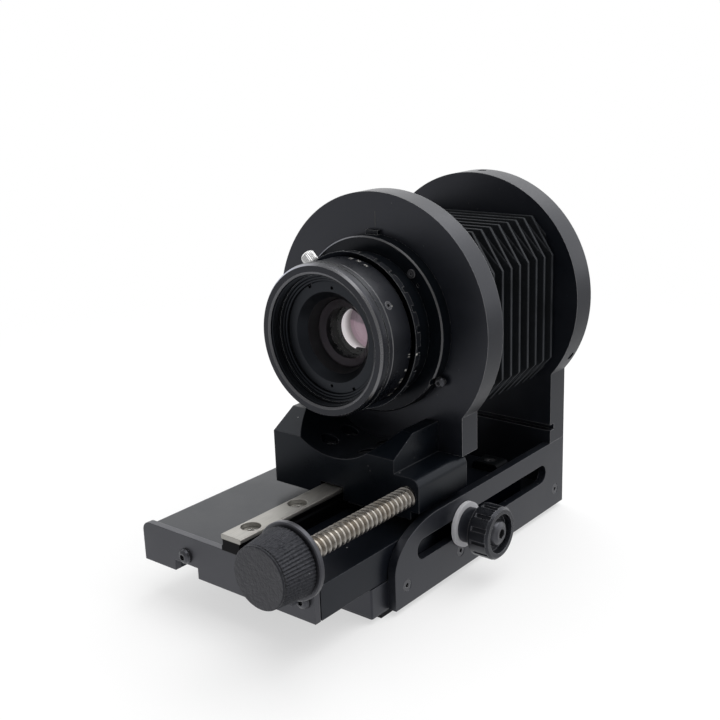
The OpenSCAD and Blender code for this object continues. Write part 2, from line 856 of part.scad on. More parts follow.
module carriage_block() {
  color("#2d2d2f") difference() {
    union() {
      plate_x(block_x0, block_x1) block_side();
      plate_y(block_y0, block_y1) step_outline();
      box([block_x0, front_y - over, block_z0], [block_x1, block_y1, step_z1]);
    }
    translate([scoop_x, 0, scoop_z]) rod_y(scoop_r, block_y0 - over, front_y + over, round_fn);
    box([rail_x - runner_w / 2, runner_y0, block_z0 - over],
      [rail_x + runner_w / 2, block_y1 + over, runner_z1]);
    box([rail_x - rail_w / 2 - mouth_gap, block_y0 - over, block_z0 - over],
      [rail_x + rail_w / 2 + mouth_gap, runner_y0 + over, rail_z1 + mouth_gap]);
    translate([screw_x, 0, screw_z]) rod_y(screw_r + run_gap, block_y0 - over, block_y1 + over, fine_fn);
    for (x = [-1, 1]) for (y = [-1, 1])
      translate([rail_x + x * pattern_x / 2, pattern_mid_y + y * pattern_y / 2, 0]) {
        translate([0, 0, runner_z1 - over])
          cylinder(r = block_screw_r + run_gap, h = block_z1 - runner_z1, $fn = fine_fn);
        translate([0, 0, block_floor_z])
          cylinder(r = block_head_r + head_clear, h = block_z1 - runner_z1, $fn = fine_fn);
      }
    for (x = [-1, 1]) translate([x * board_screw_x + scoop_x, 0, board_screw_z])
      rod_y(board_screw_r + run_gap, front_y - board_bite - board_tip_gap, front_y + over, fine_fn);
    box([-leg_x - over, front_y, step_z1], [leg_x + over, block_y1 + over, axis_h]);
    box([side_x0 - slide_gap, block_y0 - over, block_z0 - over],
      [leg_x + over, block_y1 + over, side_z1 + side_clear]);
  }
}

// The runner wraps the rail's head with lips in its grooves
module runner() {
  w = rail_w / 2 + runner_side_gap;
  roof = rail_z1 + runner_top_gap;
  lip_z0 = bed_z1 + rail_foot_h + lip_gap;
  lip_z1 = bed_z1 + rail_foot_h + rail_groove_h - lip_gap;
  color("#9b9a97") difference() {
    box([rail_x - runner_w / 2 + seat, runner_y0 + seat, bed_z1 + runner_lift],
      [rail_x + runner_w / 2 - seat, runner_y1, runner_z1 - seat]);
    plate_y(runner_y0 - over, runner_y1 + over) translate([rail_x, 0])
      polygon([[w, bed_z1], [w, lip_z0], [w - runner_lip, lip_z0], [w - runner_lip, lip_z1], [w, lip_z1],
        [w, roof], [-w, roof], [-w, lip_z1], [runner_lip - w, lip_z1],
        [runner_lip - w, lip_z0], [-w, lip_z0], [-w, bed_z1]]);
    for (x = [-1, 1]) for (y = [-1, 1])
      translate([rail_x + x * pattern_x / 2, pattern_mid_y + y * pattern_y / 2, runner_z1 - runner_hole])
        cylinder(r = block_screw_r + run_gap, h = runner_hole + over, $fn = fine_fn);
  }
}

module block_screws() {
  color("#2a2a2c") for (x = [-1, 1]) for (y = [-1, 1])
    translate([rail_x + x * pattern_x / 2, pattern_mid_y + y * pattern_y / 2, block_floor_z + seat])
      cap_screw(block_screw_r, block_head_r, block_head_h, block_floor + block_bite, block_socket_r);
}

module front_board() {
  color("#2a2a2c") difference() {
    translate([0, 0, axis_h]) plate_y(front_y, front_back_y) board_outline(axis_h - step_z1);
    translate([0, 0, axis_h]) rod_y(stub_r + board_bore_gap, front_y - over, front_back_y + over, round_fn);
    for (x = [-1, 1]) translate([x * board_screw_x + scoop_x, 0, board_screw_z]) {
      rod_y(board_screw_r + board_bore_gap, front_y - over, front_back_y + over, fine_fn);
      rod_y(board_head_r + board_bore_gap, front_back_y - board_head_h, front_back_y + over, fine_fn);
    }
    for (a = clamp_angles) translate([clamp_at * cos(a), 0, axis_h + clamp_at * sin(a)])
      rod_y(clamp_screw_r + run_gap, front_y - over, front_back_y - clamp_rest, fine_fn);
  }
}

module board_screws() {
  color("#4a4a4d") for (x = [-1, 1])
    translate([x * board_screw_x + scoop_x, front_back_y - board_head_h + seat, board_screw_z])
      rotate([-90, 0, 0]) cap_screw(board_screw_r, board_head_r, board_head_h - board_head_sink,
        board_screw_len - board_head_h, board_socket_r);
}

module flange_clamps() {
  color("#b9b8b4") for (a = clamp_angles)
    translate([clamp_at * cos(a), front_y - clamp_floor - seat, axis_h + clamp_at * sin(a)])
      rotate([90, 0, 0])
      button_screw(clamp_screw_r, clamp_head_r, clamp_head_h,
        front_board_t + clamp_floor - clamp_rest - clamp_tip_gap, clamp_socket_r);
}

// The flange has a locating lug at its top and scallops for the clamp heads
module lens_flange() {
  color("#2a2a2c") difference() {
    union() {
      on_lens() turned_y([[core_r + seat, collar_back + seat], [flange_r - flange_bevel, collar_back],
        [flange_r, collar_back + flange_bevel], [flange_r, -seat], [core_r + seat, -seat]]);
      on_lens() box([lug_x - lug_w / 2, -lug_t, flange_r - lug_out],
        [lug_x + lug_w / 2, -seat, flange_r + lug_out]);
    }
    for (a = clamp_angles) translate([clamp_at * cos(a), 0, axis_h + clamp_at * sin(a)])
      rod_y(clamp_head_r + head_clear, front_y + collar_back - over, front_y - clamp_floor, fine_fn);
    on_flange(lens_screw_at, lens_screw_angle)
      rod_y(lens_screw_r + run_gap, -over, lens_screw_len + seat, fine_fn);
    on_flange(pin_hole_at, pin_hole_angle) rod_y(pin_hole_r, -over, pin_hole_d, fine_fn);
  }
}

// The flange's lock screw and the barrel's set screw
module lens_screws() {
  color("#4a4a4d") union() {
    on_flange(lens_screw_at, lens_screw_angle) difference() {
      rod_y(lens_screw_r, -lens_screw_proud, lens_screw_len, fine_fn);
      rod_y(lens_socket_r, -lens_screw_proud - over, lens_socket_d - lens_screw_proud, hex);
    }
    on_barrel_screw() difference() {
      rod_x(barrel_screw_r, lens_r - barrel_screw_len, lens_r, fine_fn);
      rod_x(lens_socket_r, lens_r - lens_socket_d, lens_r + over, hex);
    }
  }
}

module lens_collar() {
  color("#262628") difference() {
    lens_ring(lens_r + seat, core_r + seat, iris_back + ring_gap, collar_back);
    translate([0, front_y + thumb_y, axis_h]) rotate([0, -thumb_angle, 0])
      rod_x(thumb_r + run_gap, core_r - over, lens_r + over, fine_fn);
  }
}

// The tube that carries the rings and the glasses, with a stub through the board
module lens_core() {
  color("#1c1c1e") on_lens() turned_y([
    [glass_r + cone_step, core_front], [core_r, core_front], [core_r, -seat], [stub_r, -seat],
    [stub_r, core_back],
    [glass_r - rear_glass_step, core_back],
    [glass_r - rear_glass_step, core_back - rear_glass_in - 2 * seat],
    [glass_r - bore_step, core_back - rear_glass_in - 2 * seat], [glass_r - bore_step, glass_seat_y],
    [glass_r + seat, glass_seat_y], [glass_r + seat, glass_y - 2 * seat]]);
}

module lens_barrel() {
  color("#262628") difference() {
    on_lens() turned_y([
      [core_r + seat, core_front + small_bevel], [lens_r - wall_t, core_front + small_bevel],
      [lens_r - wall_t, barrel_front + spigot_len], [lens_r - spigot_t, barrel_front + spigot_len],
      [lens_r - spigot_t, barrel_front - 2 * ring_gap], [lens_r - small_bevel, barrel_front - 2 * ring_gap],
      [lens_r - small_bevel, barrel_front], [lens_r, barrel_front + small_bevel],
      [lens_r, barrel_back - small_bevel],
      [lens_r - small_bevel, barrel_back], [core_r + seat, barrel_back]]);
    on_barrel_screw()
      rod_x(barrel_screw_r + run_gap, lens_r - barrel_screw_len - seat, lens_r + over, fine_fn);
  }
}

// The front ring with the filter thread, stepped light traps behind it and a fine line round it
module front_ring() {
  f = -lens_reach;
  step_d = (filter_r - retain_r) / 4;
  b = retain_y;
  rim = groove_front - ring_gap;
  foot = lens_r - spigot_t - ring_gap;
  line_y0 = f + ring_line_at;
  line_y1 = line_y0 + ring_line_w;
  line_r = front_r - ring_line_d;
  color("#242426") on_lens() turned_y([
    [filter_r, f + lip_h], [filter_r + lip_w, f], [lens_r - lip_h, f], [front_r - lip_h / 2, f + lip_w],
    [front_r, f + 2 * lip_w], [front_r, line_y0], [line_r, line_y0], [line_r, line_y1], [front_r, line_y1],
    [front_r, rim - small_bevel], [front_r - small_bevel, rim], [foot, rim], [foot, b],
    [retain_r + seat, b], [retain_r + seat, b - trap_t],
    [filter_r - 3 * step_d, b - trap_t], [filter_r - 3 * step_d, b - 2 * trap_t],
    [filter_r - 2 * step_d, b - 2 * trap_t], [filter_r - 2 * step_d, b - 3 * trap_t],
    [filter_r - step_d, b - 3 * trap_t], [filter_r - step_d, f + filter_len], [filter_r, f + filter_len]]);
}

// The ring that holds the front glass, a cone inside, two spanner holes and two edge slots
module retainer_ring() {
  b = retain_y;
  spanner_at = retain_r - retain_w * 0.6;
  color("#1f1f21") difference() {
    on_lens() turned_y([[retain_r - retain_w, b - retain_t], [retain_r, b - retain_t], [retain_r, b + seat],
      [core_r - retain_rest, b + seat], [core_r - retain_rest, core_front - seat],
      [glass_r + cone_step, core_front - seat]]);
    for (a = spanner_angles) translate([spanner_at * cos(a), 0, axis_h + spanner_at * sin(a)])
      rod_y(spanner_r, front_y + b - retain_t - over, front_y + b - retain_t + spanner_d, fine_fn);
    on_lens() for (a = edge_slot_angles) rotate([0, -a, 0])
      box([retain_r - edge_slot_in, b - retain_t - over, -edge_slot_w / 2],
        [retain_r + over, b - retain_t + edge_slot_d, edge_slot_w / 2]);
  }
}

// A lens glass with a domed front or back
module dome_glass(r, edge_y, edge_t, rise) {
  steps = 10;
  bow = (r * r + rise * rise) / (2 * rise);
  on_lens() turned_y(concat(
    [for (i = [0 : steps]) let(x = r * i / steps) [x, edge_y - rise + bow - sqrt(bow * bow - x * x)]],
    [[r, edge_y + edge_t], [0, edge_y + edge_t]]));
}

module front_glass() {
  color("#5b4a6e") dome_glass(glass_r, glass_y, glass_t, glass_rise);
}

module rear_glass() {
  color("#4f4a66") lens_ring(glass_r - rear_glass_step - seat, 0, core_back - rear_glass_in,
    core_back - rear_glass_in + rear_glass_t);
}

module stop_ring() {
  y1 = stop_plate_y + stop_plate_t;
  color("#151516") difference() {
    lens_ring(glass_r - bore_step - seat, 0, stop_plate_y, y1);
    difference() {
      lens_ring(stop_r, 0, stop_plate_y - over, y1 + over);
      on_lens() box([stop_tab_x0, stop_plate_y - 2 * over, -stop_r - over],
        [stop_tab_x1, y1 + 2 * over, stop_tab_in - stop_r]);
    }
  }
}

module lens_locknut() {
  color("#303033") difference() {
    lens_ring(nut_r, stub_r + seat, front_board_t + seat, front_board_t + nut_t);
    for (a = [0, 90]) on_lens() rotate([0, a, 0])
      box([-nut_r - over, front_board_t + nut_t - nut_slot, -nut_slot],
        [nut_r + over, front_board_t + nut_t + over, nut_slot]);
  }
}

// The ring that sets the aperture, notched all round behind its rim
module iris_setting_ring() {
  color("#2a2a2c") difference() {
    lens_ring(iris_r, core_r + run_gap, iris_front, iris_back);
    on_lens() for (i = [0 : notch_count - 1]) rotate([0, 360 * i / notch_count - notch_turn, 0])
      box([iris_r - notch_d, iris_back - notch_len, -notch_w / 2],
        [iris_r + over, iris_back + over, notch_w / 2]);
  }
}

module thumb_screw() {
  thumb_end = thumb_head_in + thumb_head_len;
  color("#c4c3bf") translate([0, front_y + thumb_y, axis_h]) rotate([0, -thumb_angle, 0]) rotate([0, 90, 0])
    rotate_extrude($fn = fine_fn) polygon([[0, core_r + thumb_tip_gap], [thumb_r, core_r + thumb_tip_gap],
      [thumb_r, thumb_head_in - thumb_neck_t], [thumb_neck_r, thumb_head_in - thumb_neck_t],
      [thumb_neck_r, thumb_head_in], [thumb_head_r - thumb_bevel, thumb_head_in],
      [thumb_head_r, thumb_head_in + thumb_bevel], [thumb_head_r, thumb_end - thumb_bevel],
      [thumb_head_r - thumb_bevel, thumb_end], [0, thumb_end]]);
}

module lead_screw() {
  color("#b3ada0") translate([screw_x, 0, screw_z]) turned_y([
    [0, knob_y1 - tail_len], [tail_r, knob_y1 - tail_len], [tail_r, disc_y0], [screw_r, disc_y0],
    [screw_r, ear_y1 + ear_gap], [collar_r, ear_y1 + ear_gap], [collar_r, ear_y1 + ear_gap + collar_t],
    [screw_r, ear_y1 + ear_gap + collar_t], [screw_r, screw_y1 - knob_bevel],
    [screw_r - knob_bevel, screw_y1],
    [0, screw_y1]]);
}

module knob_disc() {
  d = disc_d / 2;
  color("#1f1f21") translate([screw_x, 0, screw_z]) turned_y([
    [tail_r + seat, disc_y0 - neck_t], [neck_r, disc_y0 - neck_t], [neck_r, disc_y0],
    [d - disc_bevel, disc_y0],
    [d, disc_y0 + disc_bevel], [d, disc_y1 - disc_bevel], [d - disc_bevel, disc_y1],
    [screw_r + seat, disc_y1],
    [screw_r + seat, disc_y0 - seat], [tail_r + seat, disc_y0 - seat]]);
}

module focus_knob() {
  r = knob_d / 2;
  wide = r + knob_flare;
  cap = knob_y0 + cap_t;
  color("#2c2c2e") translate([screw_x, 0, screw_z]) turned_y([
    [0, knob_y0], [r - knob_bevel, knob_y0], [r, knob_y0 + knob_bevel], [r, cap], [r - line_d, cap],
    [r - line_d, cap + line_w], [r, cap + line_w], [wide, knob_y1 - knob_bevel - seat],
    [wide - knob_bevel, knob_y1 - seat], [tail_r + seat, knob_y1 - seat],
    [tail_r + seat, knob_y1 - tail_len - ear_gap], [0, knob_y1 - tail_len - ear_gap]]);
}

module on_clamp() {
  translate([0, clamp_y, clamp_z]) children();
}

module clamp_washer() {
  color("#e8e6e0") on_clamp() difference() {
    rod_x(washer_r, washer_x0, washer_x1, round_fn);
    rod_x(stem_r + seat, washer_x0 - over, washer_x1 + over, fine_fn);
  }
}

module clamp_collar() {
  color("#1c1c1e") on_clamp() difference() {
    rod_x(clamp_collar_r, washer_x1 + seat, clamp_x0, fine_fn);
    rod_x(stem_r + seat, washer_x1 - over, clamp_x0 + over, fine_fn);
  }
}

// The clamp knob with round-bottomed grooves and a recessed face
module clamp_knob() {
  r = clamp_d / 2;
  color("#1b1b1d") on_clamp() difference() {
    rotate([0, 90, 0]) rotate_extrude($fn = round_fn) polygon([
      [stem_r + seat, clamp_x0 + seat], [r - clamp_bevel, clamp_x0 + seat], [r, clamp_x0 + clamp_bevel],
      [r, clamp_x1 - clamp_bevel], [r - clamp_bevel, clamp_x1], [clamp_recess_r, clamp_x1],
      [clamp_recess_r - clamp_draft, clamp_x1 - clamp_recess_d],
      [stem_r + seat, clamp_x1 - clamp_recess_d]]);
    for (i = [0 : clamp_grooves - 1]) rotate([360 * i / clamp_grooves + groove_turn, 0, 0])
      translate([0, 0, r + groove_out])
      rod_x(groove_r, clamp_x0 + groove_lead, clamp_x1 - groove_end, fine_fn);
  }
}

module clamp_screw() {
  color("#3a3a3c") on_clamp() translate([clamp_x1 - clamp_recess_d + seat, 0, 0]) rotate([0, 90, 0])
    button_screw(stem_r, button_r, button_h, clamp_x1 - clamp_recess_d - bed_x1 + stem_in, button_socket_r);
}

foot_plate();
base_block();
side_plate();
side_screws();
rear_board();
rear_set_screws();
camera_ring();
bellows_rear();
bellows_front();
bed();
end_plate();
end_screws();
rail();
rail_screws();
bearing_bracket();
rear_stop();
stop_screws();
carriage_block();
runner();
block_screws();
front_board();
board_screws();
flange_clamps();
lens_flange();
lens_collar();
lens_core();
lens_barrel();
lens_screws();
front_ring();
retainer_ring();
front_glass();
rear_glass();
stop_ring();
lens_locknut();
iris_setting_ring();
thumb_screw();
lead_screw();
knob_disc();
focus_knob();
clamp_washer();
clamp_collar();
clamp_knob();
clamp_screw();
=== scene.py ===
import bpy
import bmesh
import math
from mathutils import Matrix, Vector


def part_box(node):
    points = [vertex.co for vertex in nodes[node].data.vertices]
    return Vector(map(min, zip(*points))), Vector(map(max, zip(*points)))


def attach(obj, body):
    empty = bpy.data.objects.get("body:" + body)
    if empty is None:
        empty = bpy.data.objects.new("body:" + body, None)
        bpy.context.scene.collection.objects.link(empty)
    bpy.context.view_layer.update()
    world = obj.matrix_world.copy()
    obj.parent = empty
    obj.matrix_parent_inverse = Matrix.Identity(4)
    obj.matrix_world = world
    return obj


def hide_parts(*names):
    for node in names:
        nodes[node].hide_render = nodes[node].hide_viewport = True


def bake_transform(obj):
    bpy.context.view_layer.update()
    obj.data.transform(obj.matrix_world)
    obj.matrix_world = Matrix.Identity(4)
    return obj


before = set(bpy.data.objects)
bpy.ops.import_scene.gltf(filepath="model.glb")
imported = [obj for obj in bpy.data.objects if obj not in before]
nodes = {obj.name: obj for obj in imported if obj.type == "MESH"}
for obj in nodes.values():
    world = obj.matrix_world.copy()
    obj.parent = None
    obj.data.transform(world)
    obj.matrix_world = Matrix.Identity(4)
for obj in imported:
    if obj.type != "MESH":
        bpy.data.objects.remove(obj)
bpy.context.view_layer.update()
scene = bpy.context.scene
scene.view_settings.view_transform = "Standard"
print("frame loaded,", len(nodes), "nodes")

mm = 0.001
lensAxis = Vector((0, 0, 77.2 * mm))  # the lens axis passes here, along Y
frontFaceY = -8 * mm                  # front board's front face


# shader helpers

def place(tree, kind, **sockets):
    node = tree.nodes.new(kind)
    for key, value in sockets.items():
        name = key.replace("_", " ")
        if name in node.inputs:
            node.inputs[name].default_value = value
        else:
            setattr(node, key, value)
    return node


def math2(tree, operation, a, b=None, clamp=False):
    node = place(tree, "ShaderNodeMath", operation=operation, use_clamp=clamp)
    for i, value in enumerate((a, b)):
        if value is None:
            continue
        if isinstance(value, (int, float)):
            node.inputs[i].default_value = value
        else:
            tree.links.new(value, node.inputs[i])
    return node.outputs[0]


def mapRange(tree, value, low, high, toLow=0.0, toHigh=1.0):
    node = place(tree, "ShaderNodeMapRange", interpolation_type="SMOOTHSTEP")
    tree.links.new(value, node.inputs["Value"])
    ends = ("From Min", "From Max", "To Min", "To Max")
    for name, number in zip(ends, (low, high, toLow, toHigh)):
        node.inputs[name].default_value = number
    return node.outputs[0]


def mixColour(tree, factor, a, b):
    node = place(tree, "ShaderNodeMix", data_type="RGBA")
    factorSocket, firstColour, secondColour, result = 0, 6, 7, 2
    for index, value in ((factorSocket, factor), (firstColour, a), (secondColour, b)):
        if isinstance(value, tuple):
            node.inputs[index].default_value = value
        else:
            tree.links.new(value, node.inputs[index])
    return node.outputs[result]


def axesOf(tree, kind="Object"):
    # X, Y and Z of a texture coordinate
    coords = place(tree, "ShaderNodeTexCoord")
    axes = place(tree, "ShaderNodeSeparateXYZ")
    tree.links.new(coords.outputs[kind], axes.inputs[0])
    return axes.outputs


def spot(tree, vector, scale, detail=2.0, roughness=0.5):
    noise = place(tree, "ShaderNodeTexNoise", Detail=detail, Roughness=roughness)
    tree.links.new(vector, noise.inputs["Vector"])
    if isinstance(scale, (int, float)):
        noise.inputs["Scale"].default_value = scale
    else:
        tree.links.new(scale, noise.inputs["Scale"])
    return noise.outputs["Fac"]


# shared effects

def newGroup(name, inputs, outputs):
    tree = bpy.data.node_groups.new(name, "ShaderNodeTree")
    for label, kind, value in inputs:
        socket = tree.interface.new_socket(name=label, in_out="INPUT", socket_type=kind)
        socket.default_value = value
    for label, kind in outputs:
        tree.interface.new_socket(name=label, in_out="OUTPUT", socket_type=kind)
    return tree, tree.nodes.new("NodeGroupInput"), tree.nodes.new("NodeGroupOutput")


edgeMaskLook = dict(samples=6, edge=(0.01, 0.16), rubScale=420.0, rubDetail=3.0, rub=(0.35, 0.65))


# an edge mask broken in patches: for worn bare edges, and for painted edge highlights
def buildEdgeWearAndHighlight():
    tree, given, result = newGroup("edgeWearAndHighlight",
        [("Radius", "NodeSocketFloat", 0.0004), ("Broken", "NodeSocketFloat", 0.5)],
        [("Mask", "NodeSocketFloat"), ("Normal", "NodeSocketVector")])
    bevel = place(tree, "ShaderNodeBevel", samples=edgeMaskLook["samples"])
    tree.links.new(given.outputs["Radius"], bevel.inputs["Radius"])
    geometry = place(tree, "ShaderNodeNewGeometry")
    dot = place(tree, "ShaderNodeVectorMath", operation="DOT_PRODUCT")
    tree.links.new(bevel.outputs["Normal"], dot.inputs[0])
    tree.links.new(geometry.outputs["Normal"], dot.inputs[1])
    edge = mapRange(tree, math2(tree, "SUBTRACT", 1.0, dot.outputs["Value"]), *edgeMaskLook["edge"])
    coords = place(tree, "ShaderNodeTexCoord")
    patches = spot(tree, coords.outputs["Object"], edgeMaskLook["rubScale"], edgeMaskLook["rubDetail"])
    rub = mapRange(tree, patches, *edgeMaskLook["rub"])
    keep = math2(tree, "SUBTRACT", 1.0, math2(tree, "MULTIPLY", given.outputs["Broken"], rub))
    tree.links.new(math2(tree, "MULTIPLY", edge, keep, True), result.inputs["Mask"])
    tree.links.new(bevel.outputs["Normal"], result.inputs["Normal"])
    return tree


grainLook = dict(fineDetail=2.0, cloudDetail=4.0, roughness=0.6, cloud=(0.3, 0.7))


def buildFineGrain():
    t = grainLook
    tree, given, result = newGroup("fineGrain",
        [("Scale", "NodeSocketFloat", 6000.0), ("Patch", "NodeSocketFloat", 60.0)],
        [("Height", "NodeSocketFloat"), ("Cloud", "NodeSocketFloat")])
    coords = place(tree, "ShaderNodeTexCoord")
    fine = spot(tree, coords.outputs["Object"], given.outputs["Scale"], t["fineDetail"], t["roughness"])
    cloud = spot(tree, coords.outputs["Object"], given.outputs["Patch"], t["cloudDetail"], t["roughness"])
    tree.links.new(fine, result.inputs["Height"])
    tree.links.new(mapRange(tree, cloud, *t["cloud"]), result.inputs["Cloud"])
    return tree


dustLook = dict(few=0.55, upward=(0.2, 0.8, 0.15, 1.0))


def buildDust():
    tree, given, result = newGroup("dustSpecks",
        [("Scale", "NodeSocketFloat", 260.0), ("Size", "NodeSocketFloat", 0.06)],
        [("Mask", "NodeSocketFloat")])
    coords = place(tree, "ShaderNodeTexCoord")
    cells = place(tree, "ShaderNodeTexVoronoi")
    tree.links.new(coords.outputs["Object"], cells.inputs["Vector"])
    tree.links.new(given.outputs["Scale"], cells.inputs["Scale"])
    near = math2(tree, "LESS_THAN", cells.outputs["Distance"], given.outputs["Size"])
    split = place(tree, "ShaderNodeSeparateColor")
    tree.links.new(cells.outputs["Color"], split.inputs[0])
    few = math2(tree, "GREATER_THAN", split.outputs[0], dustLook["few"])
    # dust lies mostly on what faces up
    geometry = place(tree, "ShaderNodeNewGeometry")
    axes = place(tree, "ShaderNodeSeparateXYZ")
    tree.links.new(geometry.outputs["Normal"], axes.inputs[0])
    upward = mapRange(tree, axes.outputs["Z"], *dustLook["upward"])
    specks = math2(tree, "MULTIPLY", near, few)
    tree.links.new(math2(tree, "MULTIPLY", specks, upward), result.inputs["Mask"])
    return tree


grindLook = dict(lineDetail=3.0, lineRoughness=0.7, stainScale=90.0, stainDetail=4.0, stain=(0.45, 0.75))


def buildGrinding():
    t = grindLook
    tree, given, result = newGroup("grindingLines",
        [("Along", "NodeSocketVector", (900.0, 40.0, 900.0)), ("Fineness", "NodeSocketFloat", 4.0)],
        [("Lines", "NodeSocketFloat"), ("Stain", "NodeSocketFloat")])
    coords = place(tree, "ShaderNodeTexCoord")
    stretch = place(tree, "ShaderNodeVectorMath", operation="MULTIPLY")
    tree.links.new(coords.outputs["Object"], stretch.inputs[0])
    tree.links.new(given.outputs["Along"], stretch.inputs[1])
    lines = spot(tree, stretch.outputs[0], given.outputs["Fineness"], t["lineDetail"], t["lineRoughness"])
    patches = spot(tree, coords.outputs["Object"], t["stainScale"], t["stainDetail"])
    stain = mapRange(tree, patches, *t["stain"])
    tree.links.new(lines, result.inputs["Lines"])
    tree.links.new(stain, result.inputs["Stain"])
    return tree


edgeWearAndHighlight = buildEdgeWearAndHighlight()
fineGrain = buildFineGrain()
dustSpecks = buildDust()
grindingLines = buildGrinding()


def useGroup(tree, group, **values):
    node = tree.nodes.new("ShaderNodeGroup")
    node.node_tree = group
    for key, value in values.items():
        node.inputs[key].default_value = value
    return node.outputs


# material makers

def newMaterial(name, **fixed):
    material = bpy.data.materials.new(name)
    material.use_nodes = True
    tree = material.node_tree
    shader = tree.nodes["Principled BSDF"]
    for key, value in fixed.items():
        shader.inputs[key.replace("_", " ")].default_value = value
    return material, tree, shader


def addBump(tree, shader, height, strength, depth, normal=None):
    bump = place(tree, "ShaderNodeBump", Strength=strength, Distance=depth)
    tree.links.new(height, bump.inputs["Height"])
    if normal is not None:
        tree.links.new(normal, bump.inputs["Normal"])
    tree.links.new(bump.outputs["Normal"], shader.inputs["Normal"])


facing = dict(notFlat=(-0.90, -0.84), notSide=(-0.52, -0.58), side=(0.7, 0.9), front=(-0.7, -0.95))


def bevelMask(tree):
    # bevels that face forwards and outwards
    forward = axesOf(tree, "Normal")["Y"]
    notFlat = mapRange(tree, forward, *facing["notFlat"])
    notSide = mapRange(tree, forward, *facing["notSide"])
    return math2(tree, "MULTIPLY", notFlat, notSide)


def metalMask(tree, look):
    # where a finish acts as metal: with a black base that mirrors almost nothing, so it stays unlit black,
    # painting shade on a side, in notches and in grooves; on rubbed bevels the base is bright metal instead
    if "shadedSide" in look:  # painted shade: the face towards +X is painted black, fading in along one axis
        axis, start, end = look["shadedSide"]
        side = mapRange(tree, axesOf(tree, "Normal")["X"], *facing["side"])
        return math2(tree, "MULTIPLY", side, mapRange(tree, axesOf(tree)[axis], start * mm, end * mm))
    if "shadedInside" in look:  # painted shade: black nearer to the lens axis than a radius, in the notches
        limit, soft = look["shadedInside"], 0.15
        where = axesOf(tree)
        up = math2(tree, "SUBTRACT", where["Z"], lensAxis.z)
        across = math2(tree, "MULTIPLY", where["X"], where["X"])
        radius = math2(tree, "SQRT", math2(tree, "ADD", across, math2(tree, "MULTIPLY", up, up)))
        return mapRange(tree, radius, limit * mm, (limit - soft) * mm)
    if "bareBevel" in look:  # rubbed bevels, shown as bright metal
        return bevelMask(tree)
    if "shadedGrooves" in look:  # painted shade: black at the marked points of a mesh
        return place(tree, "ShaderNodeAttribute", attribute_name="groove").outputs["Fac"]
    return None


coolSheen = (0.87, 0.89, 1.0, 1)
lowSheen = (0.27, 0.30, 0.36, 1)
dustColour = (0.5, 0.5, 0.5, 1)
coatedUsual = dict(specular=0.5, sheen=coolSheen, broken=0.4, patch=60.0, dustScale=260.0, dustStrength=0.5,
    roughGrain=0.08, bumpDepth=0.00005)


def coatedMetal(name, own):
    look = {**coatedUsual, **own}
    material, tree, shader = newMaterial(name, IOR=1.5, Specular_IOR_Level=look["specular"],
        Specular_Tint=look["sheen"])
    wearAndHighlight = useGroup(tree, edgeWearAndHighlight, Radius=look["edge"], Broken=look["broken"])
    grain = useGroup(tree, fineGrain, Scale=look["grain"], Patch=look["patch"])
    dust = useGroup(tree, dustSpecks, Scale=look["dustScale"], Size=look["dust"])
    base = mixColour(tree, grain["Cloud"], look["dark"], look["light"])
    if "litFront" in look:  # painted light: the face towards -Y is painted paler
        front = mapRange(tree, axesOf(tree, "Normal")["Y"], *facing["front"])
        base = mixColour(tree, front, base, look["litFront"])
    if "bareBevel" in look:
        base = mixColour(tree, bevelMask(tree), base, look["bareBevel"])
    # the edges take the bare colour: worn bare alloy on most finishes, a painted highlight on those named above
    # the finishes below
    edged = mixColour(tree, math2(tree, "MULTIPLY", wearAndHighlight["Mask"], look["wearAndHighlight"]), base, look["bareAndHighlight"])
    dusty = mixColour(tree, math2(tree, "MULTIPLY", dust["Mask"], look["dustStrength"]), edged, dustColour)
    tree.links.new(dusty, shader.inputs["Base Color"])
    mask = metalMask(tree, look)
    if mask is not None:
        tree.links.new(mask, shader.inputs["Metallic"])
    rough = mapRange(tree, grain["Cloud"], 0.0, 1.0, *look["rough"])
    grit = math2(tree, "MULTIPLY", grain["Height"], look["roughGrain"])
    tree.links.new(math2(tree, "ADD", rough, grit), shader.inputs["Roughness"])
    addBump(tree, shader, grain["Height"], look["bump"], look["bumpDepth"], wearAndHighlight["Normal"])
    return material


steelUsual = dict(fineness=4.0, lines=(0.2, 0.8), edge=0.0002, broken=0.2, bumpDepth=0.00003)


def bareSteel(name, own):
    look = {**steelUsual, **own}
    material, tree, shader = newMaterial(name, Metallic=1.0)
    lines = useGroup(tree, grindingLines, Along=look["along"], Fineness=look["fineness"])
    wearAndHighlight = useGroup(tree, edgeWearAndHighlight, Radius=look["edge"], Broken=look["broken"])
    shade = mixColour(tree, lines["Lines"], look["dark"], look["light"])
    colour = mixColour(tree, math2(tree, "MULTIPLY", lines["Stain"], look["stain"]), shade, look["stainColour"])
    if "shadedBelow" in look:  # painted shade: black under a level
        level, shadeBelow = look["shadedBelow"]
        soft = 0.1
        above = mapRange(tree, axesOf(tree)["Z"], (level - soft) * mm, (level + soft) * mm)
        colour = mixColour(tree, above, shadeBelow, colour)
    tree.links.new(colour, shader.inputs["Base Color"])
    rough = mapRange(tree, lines["Lines"], *look["lines"], *look["rough"])
    tree.links.new(rough, shader.inputs["Roughness"])
    addBump(tree, shader, lines["Lines"], look["bump"], look["bumpDepth"], wearAndHighlight["Normal"])
    return material


backLightUsual = dict(rough=0.3, grain=900.0, patch=300.0, waver=0.2)


def paintedBackLight(name, own):
    # painted light: inside the lens this piece glows, standing in for light from the open back, shading from the
    # first colour to the last along one axis
    look = {**backLightUsual, **own}
    material, tree, shader = newMaterial(name, Roughness=look["rough"], Emission_Strength=look["glow"])
    grain = useGroup(tree, fineGrain, Scale=look["grain"], Patch=look["patch"])
    axis, start, end = look["along"]
    waver = math2(tree, "MULTIPLY", grain["Cloud"], look["waver"] * mm)
    along = math2(tree, "ADD", axesOf(tree)[axis], waver)
    shade = mixColour(tree, mapRange(tree, along, start, end), look["first"], look["last"])
    tree.links.new(shade, shader.inputs["Base Color"])
    tree.links.new(shade, shader.inputs["Emission Color"])
    return material


